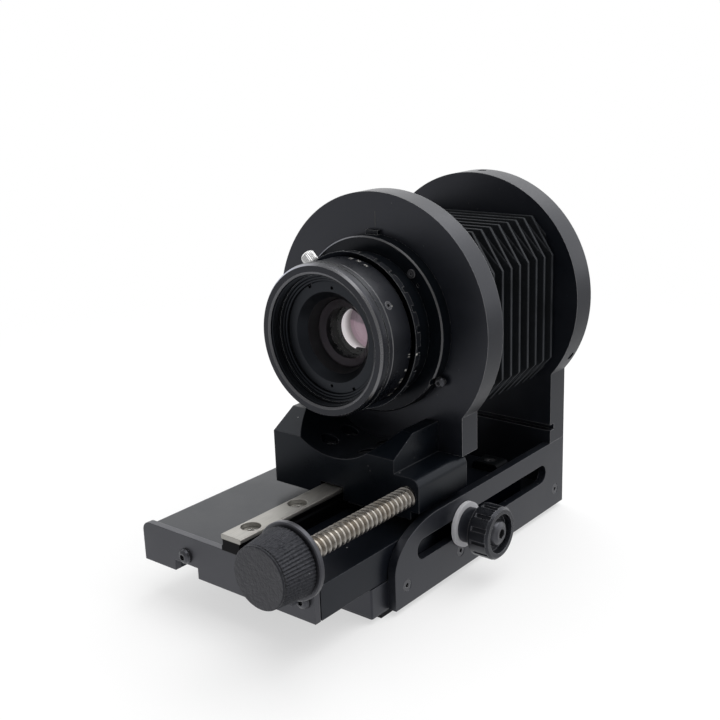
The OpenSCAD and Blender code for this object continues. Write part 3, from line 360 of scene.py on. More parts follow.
def bellowsCloth(name, look):
    material, tree, shader = newMaterial(name, Specular_IOR_Level=look["specular"])
    coords = place(tree, "ShaderNodeTexCoord")
    weave = place(tree, "ShaderNodeTexWave", Scale=look["weave"], Distortion=look["twist"], Detail=2.0)
    tree.links.new(coords.outputs["Object"], weave.inputs["Vector"])
    grain = useGroup(tree, fineGrain, Scale=look["grain"], Patch=look["patch"])
    fold = place(tree, "ShaderNodeAttribute", attribute_name="foldEdge")
    patchy = mapRange(tree, grain["Cloud"], 0.0, 1.0, *look["patchy"])
    # painted highlight: the fold ridges and creases are painted lighter, in patches
    rub = math2(tree, "MULTIPLY", mapRange(tree, fold.outputs["Fac"], *look["folds"]), patchy)
    base = mixColour(tree, grain["Cloud"], look["dark"], look["light"])
    ridgeLit = mixColour(tree, math2(tree, "MULTIPLY", rub, look["rub"]), base, look["ridgeHighlight"])
    tree.links.new(ridgeLit, shader.inputs["Base Color"])
    tree.links.new(mapRange(tree, grain["Cloud"], 0.0, 1.0, *look["rough"]), shader.inputs["Roughness"])
    threads = math2(tree, "MULTIPLY", weave.outputs["Fac"], look["threads"])
    addBump(tree, shader, math2(tree, "ADD", threads, grain["Height"]), look["bump"], look["bumpDepth"])
    return material


def shaded(colour, share):
    return tuple(share * c for c in colour[:3]) + (1,)


glassUsual = dict(coatBend=1.5, coatRough=0.01, grain=900.0, patch=120.0, shade=0.94, rough=(0.0, 0.003))
markUsual = dict(grain=5000.0, patch=400.0, shade=0.85, rough=(0.45, 0.6))
grainSpread = (0.3, 0.7)


def coatedGlass(name, own):
    look = {**glassUsual, **own}
    material, tree, shader = newMaterial(name, IOR=look["bend"], Transmission_Weight=1.0,
        Coat_Weight=look["coat"], Coat_IOR=look["coatBend"], Coat_Roughness=look["coatRough"])
    grain = useGroup(tree, fineGrain, Scale=look["grain"], Patch=look["patch"])
    tint = mixColour(tree, grain["Cloud"], look["tint"], shaded(look["tint"], look["shade"]))
    tree.links.new(tint, shader.inputs["Base Color"])
    tree.links.new(mapRange(tree, grain["Height"], *grainSpread, *look["rough"]), shader.inputs["Roughness"])
    return material


def paintedMark(name, own):
    look = {**markUsual, **own}
    material, tree, shader = newMaterial(name)
    grain = useGroup(tree, fineGrain, Scale=look["grain"], Patch=look["patch"])
    paint = mixColour(tree, grain["Cloud"], shaded(look["colour"], look["shade"]), look["colour"])
    tree.links.new(paint, shader.inputs["Base Color"])
    tree.links.new(mapRange(tree, grain["Height"], *grainSpread, *look["rough"]), shader.inputs["Roughness"])
    return material


# the finishes, each with the maker that builds it

black = (0.0035, 0.0045, 0.0072, 1)
coal = (0.0062, 0.0075, 0.0108, 1)
bareAlloy = (0.20, 0.20, 0.21, 1)
dullAlloy = (0.16, 0.16, 0.165, 1)
# painted highlight for the lens edges
lensEdgeHighlight = (0.6, 0.6, 0.6, 1)

# the bare colour on the boards, the lens rings, the iris ring, the flange, the clamp knob and the screws is a
# painted highlight; on the other finishes it is worn bare alloy
coatedLooks = {
    "satinAnodised": dict(dark=black, light=coal, bareAndHighlight=bareAlloy, wearAndHighlight=0.45, edge=0.00025, specular=0.72,
        grain=5200.0, rough=(0.30, 0.36), bump=0.22, dust=0.05),
    "boardAnodised": dict(dark=black, light=coal, bareAndHighlight=(0.45, 0.45, 0.46, 1), wearAndHighlight=0.8, edge=0.00025, broken=0.3,
        specular=0.54, grain=5200.0, rough=(0.30, 0.36), bump=0.22, dust=0.05),
    # painted light: a paler copy of the black anodising, for the end plate and the knob disc
    "litPlateAnodised": dict(dark=(0.012, 0.012, 0.014, 1), light=(0.018, 0.018, 0.021, 1), bareAndHighlight=bareAlloy,
        wearAndHighlight=0.35, edge=0.00035, specular=0.85, grain=5200.0, rough=(0.34, 0.42), bump=0.25, dust=0.06),
    # painted shade: the bed's +X side is painted black towards the back
    "bedAnodised": dict(dark=black, light=coal, bareAndHighlight=bareAlloy, wearAndHighlight=0.30, edge=0.00035, sheen=lowSheen,
        specular=0.62, grain=5200.0, rough=(0.26, 0.32), bump=0.16, dust=0.06, dustScale=190.0,
        shadedSide=("Y", -28, -18)),
    # painted shade: the carriage's +X side is painted black towards the bottom
    "deepAnodised": dict(dark=(0.0026, 0.0038, 0.0060, 1), light=(0.0042, 0.0058, 0.0084, 1), bareAndHighlight=dullAlloy,
        wearAndHighlight=0.40, edge=0.0004, sheen=lowSheen, specular=0.5, grain=5200.0, rough=(0.24, 0.30), bump=0.14,
        dust=0.06, dustScale=210.0, shadedSide=("Z", 35, 27.5)),
    "lensEnamel": dict(dark=(0.0030, 0.0036, 0.0056, 1), light=(0.0050, 0.0058, 0.0082, 1), bareAndHighlight=lensEdgeHighlight,
        bareBevel=(0.22, 0.22, 0.23, 1), wearAndHighlight=0.6, edge=0.00012, broken=0.0, specular=0.40, grain=7000.0,
        rough=(0.22, 0.27), bump=0.10, dust=0.04),
    # painted shade: the iris ring is painted black inside 24.45 mm, in its notches
    "notchedEnamel": dict(dark=(0.0045, 0.0050, 0.0066, 1), light=(0.0070, 0.0078, 0.0098, 1), bareAndHighlight=lensEdgeHighlight,
        wearAndHighlight=0.8, edge=0.00013, broken=0.0, sheen=lowSheen, specular=0.9, grain=7000.0, rough=(0.24, 0.31),
        bump=0.10, dust=0.04, shadedInside=24.45),
    "flangeEnamel": dict(dark=(0.0018, 0.0028, 0.0042, 1), light=(0.0032, 0.0043, 0.0060, 1),
        bareAndHighlight=(0.7, 0.7, 0.7, 1),
        bareBevel=(0.12, 0.12, 0.125, 1), wearAndHighlight=0.6, edge=0.00012, broken=0.0, specular=0.22, grain=7000.0,
        rough=(0.24, 0.31), bump=0.10, dust=0.06),
    # painted shade: the thread roots and ridge floors are painted black
    "lensInside": dict(dark=(0.0046, 0.0050, 0.0062, 1), light=(0.0072, 0.0078, 0.0094, 1), bareAndHighlight=dullAlloy,
        wearAndHighlight=0.0, edge=0.0001, broken=0.0, sheen=lowSheen, specular=0.75, grain=7000.0, rough=(0.26, 0.34),
        bump=0.1, dust=0.03, shadedGrooves=True),
    # painted light: a paler copy of the lens inside finish, for the cone in front of the glass
    "litLensCone": dict(dark=(0.017, 0.016, 0.0175, 1), light=(0.024, 0.0225, 0.024, 1), bareAndHighlight=dullAlloy,
        wearAndHighlight=0.3, edge=0.00014, specular=0.4, grain=7000.0, rough=(0.4, 0.5), bump=0.1, dust=0.03),
    "deepBlack": dict(dark=(0.0014, 0.0021, 0.0026, 1), light=(0.0022, 0.0031, 0.0038, 1),
        bareAndHighlight=(0.02, 0.02, 0.02, 1),
        wearAndHighlight=0.4, edge=0.0003, specular=0.10, grain=5200.0, rough=(0.5, 0.6), bump=0.05, dust=0.04),
    "pinkEdge": dict(dark=(0.015, 0.0115, 0.0135, 1), light=(0.021, 0.016, 0.0185, 1),
        bareAndHighlight=(0.03, 0.027, 0.03, 1),
        wearAndHighlight=0.1, edge=0.0001, specular=0.25, grain=3000.0, rough=(0.4, 0.5), bump=0.05, dust=0.0),
    # painted light: the knob's front face is painted paler
    "knobBlack": dict(dark=(0.005, 0.0055, 0.0072, 1), light=(0.009, 0.0096, 0.0118, 1),
        bareAndHighlight=(0.09, 0.09, 0.09, 1),
        litFront=(0.046, 0.046, 0.049, 1), wearAndHighlight=0.35, edge=0.0002, specular=0.55, grain=900.0,
        rough=(0.50, 0.60), bump=1.0, bumpDepth=0.0006, dust=0.06),
    "clampBlack": dict(dark=(0.0055, 0.0062, 0.0080, 1), light=(0.009, 0.0097, 0.0120, 1),
        bareAndHighlight=(0.30, 0.30, 0.32, 1),
        wearAndHighlight=0.8, edge=0.00025, broken=0.2, specular=0.62, grain=3000.0, rough=(0.22, 0.30), bump=0.2, dust=0.06),
    "screwBlack": dict(dark=(0.020, 0.020, 0.022, 1), light=(0.034, 0.034, 0.036, 1), bareAndHighlight=(0.40, 0.40, 0.41, 1),
        wearAndHighlight=0.8, edge=0.00018, broken=0.2, specular=0.9, grain=4000.0, rough=(0.24, 0.32), bump=0.15, dust=0.04),
    "footRubber": dict(dark=(0.004, 0.004, 0.004, 1), light=(0.007, 0.007, 0.007, 1), bareAndHighlight=(0.04, 0.04, 0.04, 1),
        wearAndHighlight=0.2, edge=0.0003, specular=0.3, grain=2500.0, rough=(0.7, 0.8), bump=0.5, dust=0.06),
    "whiteNylon": dict(dark=(0.58, 0.58, 0.60, 1), light=(0.66, 0.66, 0.68, 1), bareAndHighlight=(0.74, 0.74, 0.74, 1),
        wearAndHighlight=0.3, edge=0.0003, grain=2600.0, rough=(0.42, 0.5), bump=0.1, dust=0.0),
}
steelLooks = {
    "groundSteel": dict(along=(900.0, 40.0, 900.0), dark=(0.52, 0.51, 0.49, 1), light=(0.70, 0.69, 0.66, 1),
        stain=0.35, stainColour=(0.42, 0.38, 0.33, 1), rough=(0.22, 0.34), bump=0.2, edge=0.0003),
    "threadSteel": dict(along=(300.0, 300.0, 300.0), dark=(0.34, 0.32, 0.295, 1), light=(0.48, 0.455, 0.42, 1),
        stain=0.5, stainColour=(0.33, 0.28, 0.22, 1), rough=(0.24, 0.36), bump=0.2, edge=0.0001),
    "brightScrew": dict(along=(500.0, 500.0, 500.0), dark=(0.60, 0.60, 0.60, 1), light=(0.76, 0.76, 0.76, 1),
        stain=0.2, stainColour=(0.4, 0.4, 0.4, 1), rough=(0.16, 0.28), bump=0.15),
    "runnerSteel": dict(along=(60.0, 600.0, 600.0), dark=(0.42, 0.42, 0.42, 1), light=(0.56, 0.56, 0.56, 1),
        stain=0.3, stainColour=(0.3, 0.29, 0.27, 1), rough=(0.3, 0.42), bump=0.2),
    # ground bright on the head, painted shade in black in the side grooves below it
    "railSteel": dict(along=(900.0, 40.0, 900.0), dark=(0.24, 0.233, 0.22, 1), light=(0.56, 0.545, 0.51, 1),
        stain=0.3, stainColour=(0.46, 0.42, 0.37, 1), rough=(0.42, 0.52), bump=0.2, edge=0.0003,
        shadedBelow=(27.6, (0.006, 0.006, 0.007, 1))),
}
# painted light: the spacer glows white at its front end; the rear element glows over its pink coating colour
backLightLooks = {
    "spacerGlow": dict(glow=0.45, along=("Y", -16.5 * mm, -12.4 * mm),
        first=(0.92, 0.92, 0.92, 1), last=(0.22, 0.20, 0.20, 1)),
    "rearCoatingGlow": dict(glow=0.3, along=("Z", lensAxis.z + 1.2 * mm, lensAxis.z + 0.4 * mm),
        first=(0.17, 0.13, 0.155, 1), last=(0.36, 0.26, 0.31, 1)),
}
clothLooks = {
    "bellowsCloth": dict(dark=(0.0022, 0.0032, 0.0046, 1), light=(0.0042, 0.0054, 0.0074, 1),
        ridgeHighlight=(0.036, 0.039, 0.044, 1), rub=0.9, rough=(0.62, 0.78), specular=0.16,
        weave=2600.0, twist=1.5, threads=0.4, grain=2400.0, patch=140.0, patchy=(0.6, 1.0), folds=(0.3, 0.95),
        bump=0.35, bumpDepth=0.0001),
}
glassLooks = {
    "frontGlass": dict(tint=(0.98, 0.965, 0.97, 1), bend=1.03, coat=0.3),
    "rearGlass": dict(tint=(0.94, 0.86, 0.91, 1), bend=1.5, coat=0.6),
}
markLooks = {
    "whiteMark": dict(colour=(0.50, 0.49, 0.46, 1)),
    "greyMark": dict(colour=(0.05, 0.05, 0.05, 1)),
}

materials = {}
for maker, looks in ((coatedMetal, coatedLooks), (bareSteel, steelLooks), (paintedBackLight, backLightLooks),
        (bellowsCloth, clothLooks), (coatedGlass, glassLooks), (paintedMark, markLooks)):
    for name, look in looks.items():
        materials[name] = maker(name, look)
print("materials made")


# which finish each carried-over node wears

finishes = {
    "satinAnodised": ("base_block", "side_plate", "camera_ring", "bearing_bracket", "clamp_collar"),
    "boardAnodised": ("front_board", "rear_board"),
    "litPlateAnodised": ("end_plate", "knob_disc"),
    "deepAnodised": ("carriage_block",),
    "bedAnodised": ("bed",),
    "lensEnamel": ("lens_barrel", "front_ring"),
    "notchedEnamel": ("iris_setting_ring",),
    "flangeEnamel": ("lens_flange", "lens_collar"),
    "lensInside": ("retainer_ring", "lens_locknut"),
    "litLensCone": ("lens_core",),
    "deepBlack": ("stop_ring", "rear_stop"),
    "footRubber": ("foot_plate",),
    "screwBlack": ("side_screws", "rear_set_screws", "end_screws", "block_screws", "board_screws", "clamp_screw",
        "stop_screws", "flange_clamps", "lens_screws"),
    "railSteel": ("rail",),
    "groundSteel": ("rail_screws",),
    "runnerSteel": ("runner",),
    "whiteNylon": ("clamp_washer",),
    "clampBlack": ("clamp_knob",),
    "frontGlass": ("front_glass",),
    "rearGlass": ("rear_glass",),
}


def dress(obj, material):
    obj.data.materials.clear()
    obj.data.materials.append(material)


for finish, names in finishes.items():
    for name in names:
        dress(nodes[name], materials[finish])


# mesh helpers

sharpFrom = math.radians(32)


def meshPiece(name, points, faces, finish, body, smooth=True):
    mesh = bpy.data.meshes.new(name)
    mesh.from_pydata([tuple(p) for p in points], [], faces)
    mesh.validate()
    work = bmesh.new()
    work.from_mesh(mesh)
    bmesh.ops.recalc_face_normals(work, faces=work.faces)
    work.to_mesh(mesh)
    work.free()
    if smooth:
        mesh.shade_smooth()
        mesh.set_sharp_from_angle(angle=sharpFrom)
    piece = bpy.data.objects.new(name, mesh)
    scene.collection.objects.link(piece)
    dress(piece, materials[finish])
    if body:
        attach(piece, body)
    return piece


def markPoints(piece, label, values):
    mark = piece.data.attributes.new(label, "FLOAT", "POINT")
    mark.data.foreach_set("value", values)


def moved(points, shift):
    return [p + shift for p in points]


def turned(profile, count, tooth=None, closed=True):
    # profile: radius, station and tooth depth in mm, turned about local Y
    points, faces = [], []
    for radius, station, depth in profile:
        for k in range(count):
            angle = 2 * math.pi * k / count
            r = (radius - (depth * tooth(k) if tooth else 0)) * mm
            points.append(Vector((r * math.sin(angle), station * mm, r * math.cos(angle))))
    for i in range(len(profile) - 1):
        for k in range(count):
            n = (k + 1) % count
            faces.append((i * count + k, i * count + n, (i + 1) * count + n, (i + 1) * count + k))
    if closed:
        faces.append(tuple(range(count)))
        faces.append(tuple(reversed(range((len(profile) - 1) * count, len(profile) * count))))
    return points, faces


def openTurned(profile, count):
    return turned([(r, y, 0) for r, y in profile], count, closed=False)


def threadStrip(shape, front, pitch, turns, steps):
    # a thread's outline, share of the pitch and radius in mm, wound about local Y
    points, faces = [], []
    m = len(shape)
    total = turns * steps
    for k in range(total + 1):
        angle = 2 * math.pi * k / steps
        for share, radius in shape:
            y = front + pitch * (k / steps + share)
            points.append(Vector((radius * math.sin(angle), y, radius * math.cos(angle))) * mm)
    for k in range(total):
        for j in range(m - 1):
            faces.append((k * m + j, (k + 1) * m + j, (k + 1) * m + j + 1, k * m + j + 1))
        if k + steps + 1 <= total:
            faces.append((k * m + m - 1, (k + 1) * m + m - 1, (k + 1 + steps) * m, (k + steps) * m))
    return points, faces


# bellows: two pleated lengths, the joint between them follows the bed

bellows = dict(width=66.2, height=56.5, cutX=7.9, cutTop=12.3, cutLow=9.0, depth=6.0, wall=0.6, inset=0.15,
    flat=0.09, crease=0.03, creaseEase=0.2, creaseMark=0.9, near=0.001)
pleatSteps = [0, 0.045, 0.09, 0.12, 0.2, 0.3, 0.4, 0.5, 0.6, 0.7, 0.8, 0.88, 0.91, 0.955, 1]


def foldRing():
    # the widest section: place, inward mitre, share of the cut corner from its top end to its side end
    w, h = bellows["width"] / 2 - bellows["inset"], bellows["height"] / 2 - bellows["inset"]
    x, top, low = w - bellows["cutX"], h - bellows["cutTop"], h - bellows["cutLow"]
    outline = ((w, -low), (w, top), (x, h), (-x, h), (-w, top), (-w, -low), (-x, -h), (x, -h))
    corners = [Vector(c) for c in outline]
    sides = len(corners)
    inward = []
    for i in range(sides):
        side = (corners[(i + 1) % sides] - corners[i]).normalized()
        inward.append(Vector((-side.y, side.x)))
    mitres = [(inward[i - 1] + inward[i]) / (1 + inward[i - 1].dot(inward[i])) for i in range(sides)]
    ring = []
    for i in range(sides):
        j = (i + 1) % sides
        cutCorner = i % 2 == 1
        falling = i in (1, 5)
        for part in (pleatSteps[:-1] if cutCorner else (0, 0.5)):
            share = 1.0
            if cutCorner:
                share = 1 - part if falling else part
            elif part == 0 and i in (2, 6):
                share = 0.0
            corner, mitre = corners[i].lerp(corners[j], part), mitres[i].lerp(mitres[j], part)
            ring.append((corner, mitre, share, cutCorner, falling))
    return ring


def foldDepth(tau, u):
    # depth below the ridges at tau of the way from one ridge to the next; a crease crosses the cut corner at u
    e, c, ease = bellows["flat"], bellows["crease"], bellows["creaseEase"]
    if tau <= u:
        span, s, near, far = u, tau, e, c + (e - c) * max(0, (u - 1 + ease) / ease)
    else:
        span, s, near, far = 1 - u, tau - u, c + (e - c) * max(0, (ease - u) / ease), e
    end = span - far
    return span * (1 - abs(2 * s - near - end) / (end - near)) if near < s < end else 0


# how much painted highlight a point gets: full at the ridge flats, less at the creases
def foldMark(tau, u, cutCorner):
    if min(tau, 1 - tau) < bellows["flat"] + bellows["near"]:
        return 1.0
    return bellows["creaseMark"] if cutCorner and abs(tau - u) < bellows["near"] else 0.0


def pleatedLength(name, node, folds):
    low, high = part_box(node)
    y0, y1 = low.y, high.y
    # a length starts and ends half way between two ridges
    rows = [(g - 0.5, g) for g in pleatSteps if g >= 0.5]
    for k in range(1, folds):
        rows += [(k - 0.5 + g, g) for g in pleatSteps[1:]]
    rows += [(folds - 0.5 + g, g) for g in pleatSteps[1:] if g <= 0.5]
    ring = foldRing()
    points, ridgeHighlight, faces = [], [], []
    for inner in (0, 1):
        for t, tau in rows:
            y = y0 + (y1 - y0) * t / folds
            for corner, mitre, u, cutCorner, falling in ring:
                c = corner + mitre * (foldDepth(tau, u) * bellows["depth"] + inner * bellows["wall"])
                points.append(Vector((c.x * mm, y, lensAxis.z + c.y * mm)))
                ridgeHighlight.append(foldMark(tau, u, cutCorner))
    n = len(ring)
    inside = n * len(rows)
    for i in range(len(rows) - 1):
        for k in range(n):
            a, b = i * n + k, i * n + (k + 1) % n
            cutCorner, falling = ring[k][3:]
            if not cutCorner:
                faces.append((a, b, b + n, a + n))
            elif falling:
                faces += [(a, b, a + n), (b, b + n, a + n)]
            else:
                faces += [(a, b, b + n), (a, b + n, a + n)]
            faces.append((a + inside, a + n + inside, b + n + inside, b + inside))
    last = n * (len(rows) - 1)
    for k in range(n):
        a, b = k, (k + 1) % n
        faces.append((a, a + inside, b + inside, b))
        faces.append((last + a, last + b, last + b + inside, last + a + inside))
    piece = meshPiece(name, points, faces, "bellowsCloth", None)
    markPoints(piece, "foldEdge", ridgeHighlight)
    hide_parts(node)
    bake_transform(piece)


pleatedLength("bellowsRearFolds", "bellows_rear", 4)
pleatedLength("bellowsFrontFolds", "bellows_front", 5)
print("bellows folded")


# lead screw with a real right-hand thread

screwThread = dict(x=27.3, z=32.7, radius=3.2, root=2.2, pitch=2.0, steps=36, crest=0.30,
    soft=0.06, softFrom=0.94, softTo=1.06,
    start=12.4, endGap=1.0, runOut=0.55, endSteps=48,
    # radius and distance from the head: journal under the bearing, then the retaining collar
    journal=[(1.6, 0), (2.2, 0), (2.2, 6.2), (3.2, 6.2), (3.2, 10.8), (4.15, 10.85), (4.2, 10.95), (4.2, 11.85),
        (4.1, 12.0), (2.6, 12.0)],
    neck=[(2.6, 1.2), (2.4, 1.2)],  # from the thread's start
    tip=[(2.45, -3.0), (2.45, -0.4), (2.1, -0.05), (1.9, -0.05)])  # from the tip
screwAxis = Vector((screwThread["x"], 0, screwThread["z"])) * mm


def threadedScrew():
    t = screwThread
    low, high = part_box("lead_screw")
    r, root, crest, pitch = t["radius"], t["root"], t["crest"], t["pitch"]
    head = low.y / mm
    front = head + t["start"]
    turns = int((high.y / mm - t["endGap"] - front) / pitch)
    flank = (1 - 2 * crest) / 2
    shape = [(0.0, root), (flank * t["softFrom"], r - t["soft"]), (flank, r), (flank + crest, r),
        (flank * t["softTo"] + crest, r - t["soft"]), (2 * flank + crest, root)]
    points, faces = threadStrip(shape, front, pitch, turns, t["steps"])
    tip = front + pitch * (turns + t["runOut"])
    shank = [(a, head + b, 0) for a, b in t["journal"]] + [(a, front + b, 0) for a, b in t["neck"]]
    for profile in (shank, [(a, tip + b, 0) for a, b in t["tip"]]):
        more, rings = turned(profile, t["endSteps"])
        shift = len(points)
        points += more
        faces += [tuple(i + shift for i in f) for f in rings]
    piece = meshPiece("leadScrewThread", moved(points, screwAxis), faces, "threadSteel", "screw")
    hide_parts("lead_screw")


threadedScrew()
print("lead screw threaded")


# focusing knob, a cone with a straight knurl behind its smooth face edge

focusKnob = dict(face=8.8, back=10.1, teeth=60, tooth=(1.0, 0.62, 0.0, 0.62), depth=0.3, bevel=0.3, cap=0.6,
    line=0.4, lineDeep=0.35, gap=0.02, centre=(0.6, 3.0, 5.4), dish=0.03, coneFrom=0.8, coneMid=6, lip=0.06,
    backTooth=0.4)


def knurledKnob():
    t = focusKnob
    low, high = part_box("focus_knob")
    y0, y1 = low.y / mm, high.y / mm
    g, d, b, back = t["gap"], t["depth"], t["bevel"], t["back"]
    r = t["face"] - g
    line0, line1 = y0 + t["cap"], y0 + t["cap"] + t["line"]
    lineR = r - t["lineDeep"]
    lean = (back - t["face"]) / (y1 - y0)
    middle, hollow, flat = t["centre"]
    mid = t["coneMid"]
    profile = [(middle, y0 + t["dish"], 0), (hollow, y0 + g, 0), (flat, y0 + g, 0), (r - b, y0 + g, 0),
        (r, y0 + b, 0), (r, line0, 0), (lineR, line0 + g, 0), (lineR, line1 - g, 0),
        (r + lean * t["coneFrom"], line1, d), (r + lean * mid, y0 + mid, d), (back - t["lip"], y1 - b, d),
        (back - b, y1 - g, d * t["backTooth"]), (hollow, y1 - g, 0)]
    tooth = t["tooth"]
    points, faces = turned(profile, t["teeth"] * len(tooth), lambda k: tooth[k % len(tooth)])
    piece = meshPiece("focusKnobKnurl", moved(points, screwAxis), faces, "knobBlack", "screw")
    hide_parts("focus_knob")


knurledKnob()


# silver thumb screw on the lens collar

thumbScrew = dict(angle=136, y=-15.55, head=2.5, inner=25.95, length=4.55, teeth=30,
    tooth=(1.0, 0.55, 0.0, 0.55))


def knurledThumb():
    t = thumbScrew
    a, b, h = t["inner"], t["inner"] + t["length"], t["head"]
    # radius, distance from the lens axis, tooth depth
    shank = [(0.9, 20.0, 0), (1.2, 20.1, 0), (1.2, a - 0.8, 0), (1.9, a - 0.8, 0), (1.9, a, 0)]
    head = [(h - 0.55, a, 0), (h - 0.2, a + 0.2, 0.08), (h - 0.02, a + 0.6, 0.13), (h, a + 1.1, 0.14),
        (h, b - 1.4, 0.14), (h - 0.08, b - 0.9, 0.10), (h - 0.32, b - 0.5, 0.05), (h - 0.8, b - 0.18, 0),
        (h - 1.4, b - 0.04, 0), (0.4, b - 0.02, 0)]
    tooth = t["tooth"]
    points, faces = turned(shank + head, t["teeth"] * len(tooth), lambda k: tooth[k % len(tooth)])
    angle = math.radians(t["angle"])
    out = Vector((math.cos(angle), 0, math.sin(angle)))
    turn = Vector((0, 1, 0)).rotation_difference(out).to_matrix()
    centre = Vector((0, t["y"] * mm, lensAxis.z))
    placed = [centre + turn @ p for p in points]
    piece = meshPiece("thumbScrewKnurl", placed, faces, "brightScrew", "thumb")
    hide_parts("thumb_screw")


knurledThumb()
print("knobs knurled")


# plain dial figures on the lens barrel, bent round it: text, angle, station

dialFigures = dict(radius=23.15, lift=0.03, size=1.6, squeeze=0.9, roundness=3,
    marks=[("32", 84, -22.9), ("22", 76.6, -22.9), ("16", 68.7, -23.3), ("11", -10, -22.5), ("8", -22, -22.5),
        ("5.6", -32, -22.5), ("4", -40.5, -22.5), ("2.8", -48, -22.5)])


def bentFigure(text, angle, station, index):
    t = dialFigures
    name = "dialFigure" + str(index)
    curve = bpy.data.curves.new(name, "FONT")
    curve.body = text
    curve.size = t["size"] * mm
    curve.align_x = "CENTER"
    curve.align_y = "CENTER"
    curve.resolution_u = t["roundness"]
    holder = bpy.data.objects.new("figureHolder", curve)
    scene.collection.objects.link(holder)
    bpy.context.view_layer.update()
    flat = bpy.data.meshes.new_from_object(holder.evaluated_get(bpy.context.evaluated_depsgraph_get()))
    bpy.data.objects.remove(holder)
    r = (t["radius"] + t["lift"]) * mm
    points = []
    for v in flat.vertices:
        a = math.radians(angle) - v.co.x / r
        points.append((r * math.cos(a), station * mm + v.co.y * t["squeeze"], lensAxis.z + r * math.sin(a)))
    faces = [tuple(p.vertices) for p in flat.polygons]
    bpy.data.meshes.remove(flat)
    meshPiece(name, points, faces, "whiteMark", "carriage", smooth=False)


for index, (text, angle, station) in enumerate(dialFigures["marks"]):
    bentFigure(text, angle, station, index)
print("figures set")


# inside of the lens: filter thread, light-trap ridges, glass seat, rear cell

filterThread = dict(root=20.22, crest=19.78, front=-35.4, pitch=0.6, turns=4, steps=72,
    shares=(0.0, 0.32, 0.5, 0.82))
trapRidges = dict(outer=20.2, wide=0.75, count=4, front=-32.2, step=0.44, deep=0.4, flat=0.46, slope=0.06,
    gap=0.04, mouth=0.35, floorFall=0.02, steps=96)
glassSeat = dict(steps=72,  # radius and station
    groundEdge=[(10.66, -24.0), (10.3, -24.15), (8.2, -23.3), (8.05, -23.2)],
    stopTube=[(8.05, -23.2), (8.0, -20.0), (8.3, -18.45)])
rearCell = dict(spacerSteps=72, faceSteps=48, radius=7.9, front=-12.3, rise=5.6, angles=(49.5, 38, 26, 14, 3),
    spacer=[(8.9, -17.5), (7.35, -17.5), (7.35, -12.35), (9.0, -12.35)],
    rim=[(8.6, -11.6), (8.6, -12.2)])


def lensPiece(name, points, faces, finish):
    return meshPiece(name, moved(points, lensAxis), faces, finish, "carriage")


def cutFilterThread():
    t = filterThread
    shape = list(zip(t["shares"], (t["root"], t["crest"], t["crest"], t["root"])))
    points, faces = threadStrip(shape, t["front"], t["pitch"], t["turns"], t["steps"])
    piece = lensPiece("filterThread", points, faces, "lensInside")
    # the thread roots are marked for painted shade
    rootMarks = (1.0, 0.0, 0.0, 1.0)
    markPoints(piece, "groove", [rootMarks[k % len(shape)] for k in range(len(points))])


def cutTrapRidges():
    # stepped ridges, each with a narrow groove inside it
    t = trapRidges
    rings, deep = [(t["outer"], t["front"] + t["mouth"])], [1.0]
    for i in range(t["count"]):
        r, y = t["outer"] - t["wide"] * i - t["gap"], t["front"] + t["step"] * i
        floorY = y + t["deep"]
        rings += [(r, y), (r - t["flat"], y), (r - t["flat"] - t["slope"], floorY),
            (r - t["wide"] + t["gap"], floorY + t["floorFall"])]
        deep += [0.0, 0.0, 1.0, 1.0]
    points, faces = openTurned(rings, t["steps"])
    piece = lensPiece("lightTrapRidges", points, faces, "lensInside")
    # the groove floors are marked for painted shade
    markPoints(piece, "groove", [deep[k // t["steps"]] for k in range(len(points))])


def setGlassSeat():
    # the ground edge of the front element, and the black tube between it and the stop
    t = glassSeat
    points, faces = openTurned(t["groundEdge"], t["steps"])
    lensPiece("glassGroundEdge", points, faces, "pinkEdge")
    points, faces = openTurned(t["stopTube"], t["steps"])
    lensPiece("stopTube", points, faces, "deepBlack")


def setRearCell():
    # a spacer tube behind the stop and the front of the rear element, both glowing with painted light from the
    # open back
    t = rearCell
    points, faces = openTurned(t["spacer"], t["spacerSteps"])
    lensPiece("rearSpacer", points, faces, "spacerGlow")
    angles = [math.radians(a) for a in t["angles"]]
    edge = math.cos(angles[0])
    dome = [(t["radius"] * math.sin(a), t["front"] + t["rise"] * (edge - math.cos(a))) for a in angles]
    points, faces = openTurned(t["rim"] + dome, t["faceSteps"])
    faces.append(tuple(range(len(points) - t["faceSteps"], len(points))))
    lensPiece("rearElementFace", points, faces, "rearCoatingGlow")


cutFilterThread()
cutTrapRidges()
setGlassSeat()
setRearCell()
print("lens inside made")


# index marks

boardLine = dict(x=0.3, low=30.2, high=35.0, wide=0.32, lift=0.02)
indexDots = [
    dict(name="apertureDot", radius=24.62, angle=-9.0, y=-20.6, size=0.36, body="aperture"),
    dict(name="barrelDot", radius=23.17, angle=29.4, y=-26.5, size=0.2, body="carriage"),
]
dotSides = 12


def indexDot(look):
    r, size = look["radius"], look["size"]
    points = []
    for k in range(dotSides):
        turn = 2 * math.pi * k / dotSides
        a = math.radians(look["angle"]) + size * math.cos(turn) / r
        y = look["y"] + size * math.sin(turn)
        points.append(lensAxis + Vector((r * math.cos(a), y, r * math.sin(a))) * mm)
    faces = [tuple(range(dotSides))]
    meshPiece(look["name"], points, faces, "whiteMark", look["body"], smooth=False)


def indexLine():
    t = boardLine
    y = frontFaceY - t["lift"] * mm
    x0, x1 = (t["x"] - t["wide"] / 2) * mm, (t["x"] + t["wide"] / 2) * mm
    z0, z1 = lensAxis.z + t["low"] * mm, lensAxis.z + t["high"] * mm
    corners = [(x0, y, z0), (x1, y, z0), (x1, y, z1), (x0, y, z1)]
    meshPiece("boardIndexLine", corners, [(0, 1, 2, 3)], "greyMark", "carriage", smooth=False)


for look in indexDots:
    indexDot(look)
indexLine()
print("marks set")


# camera fitted to the photograph

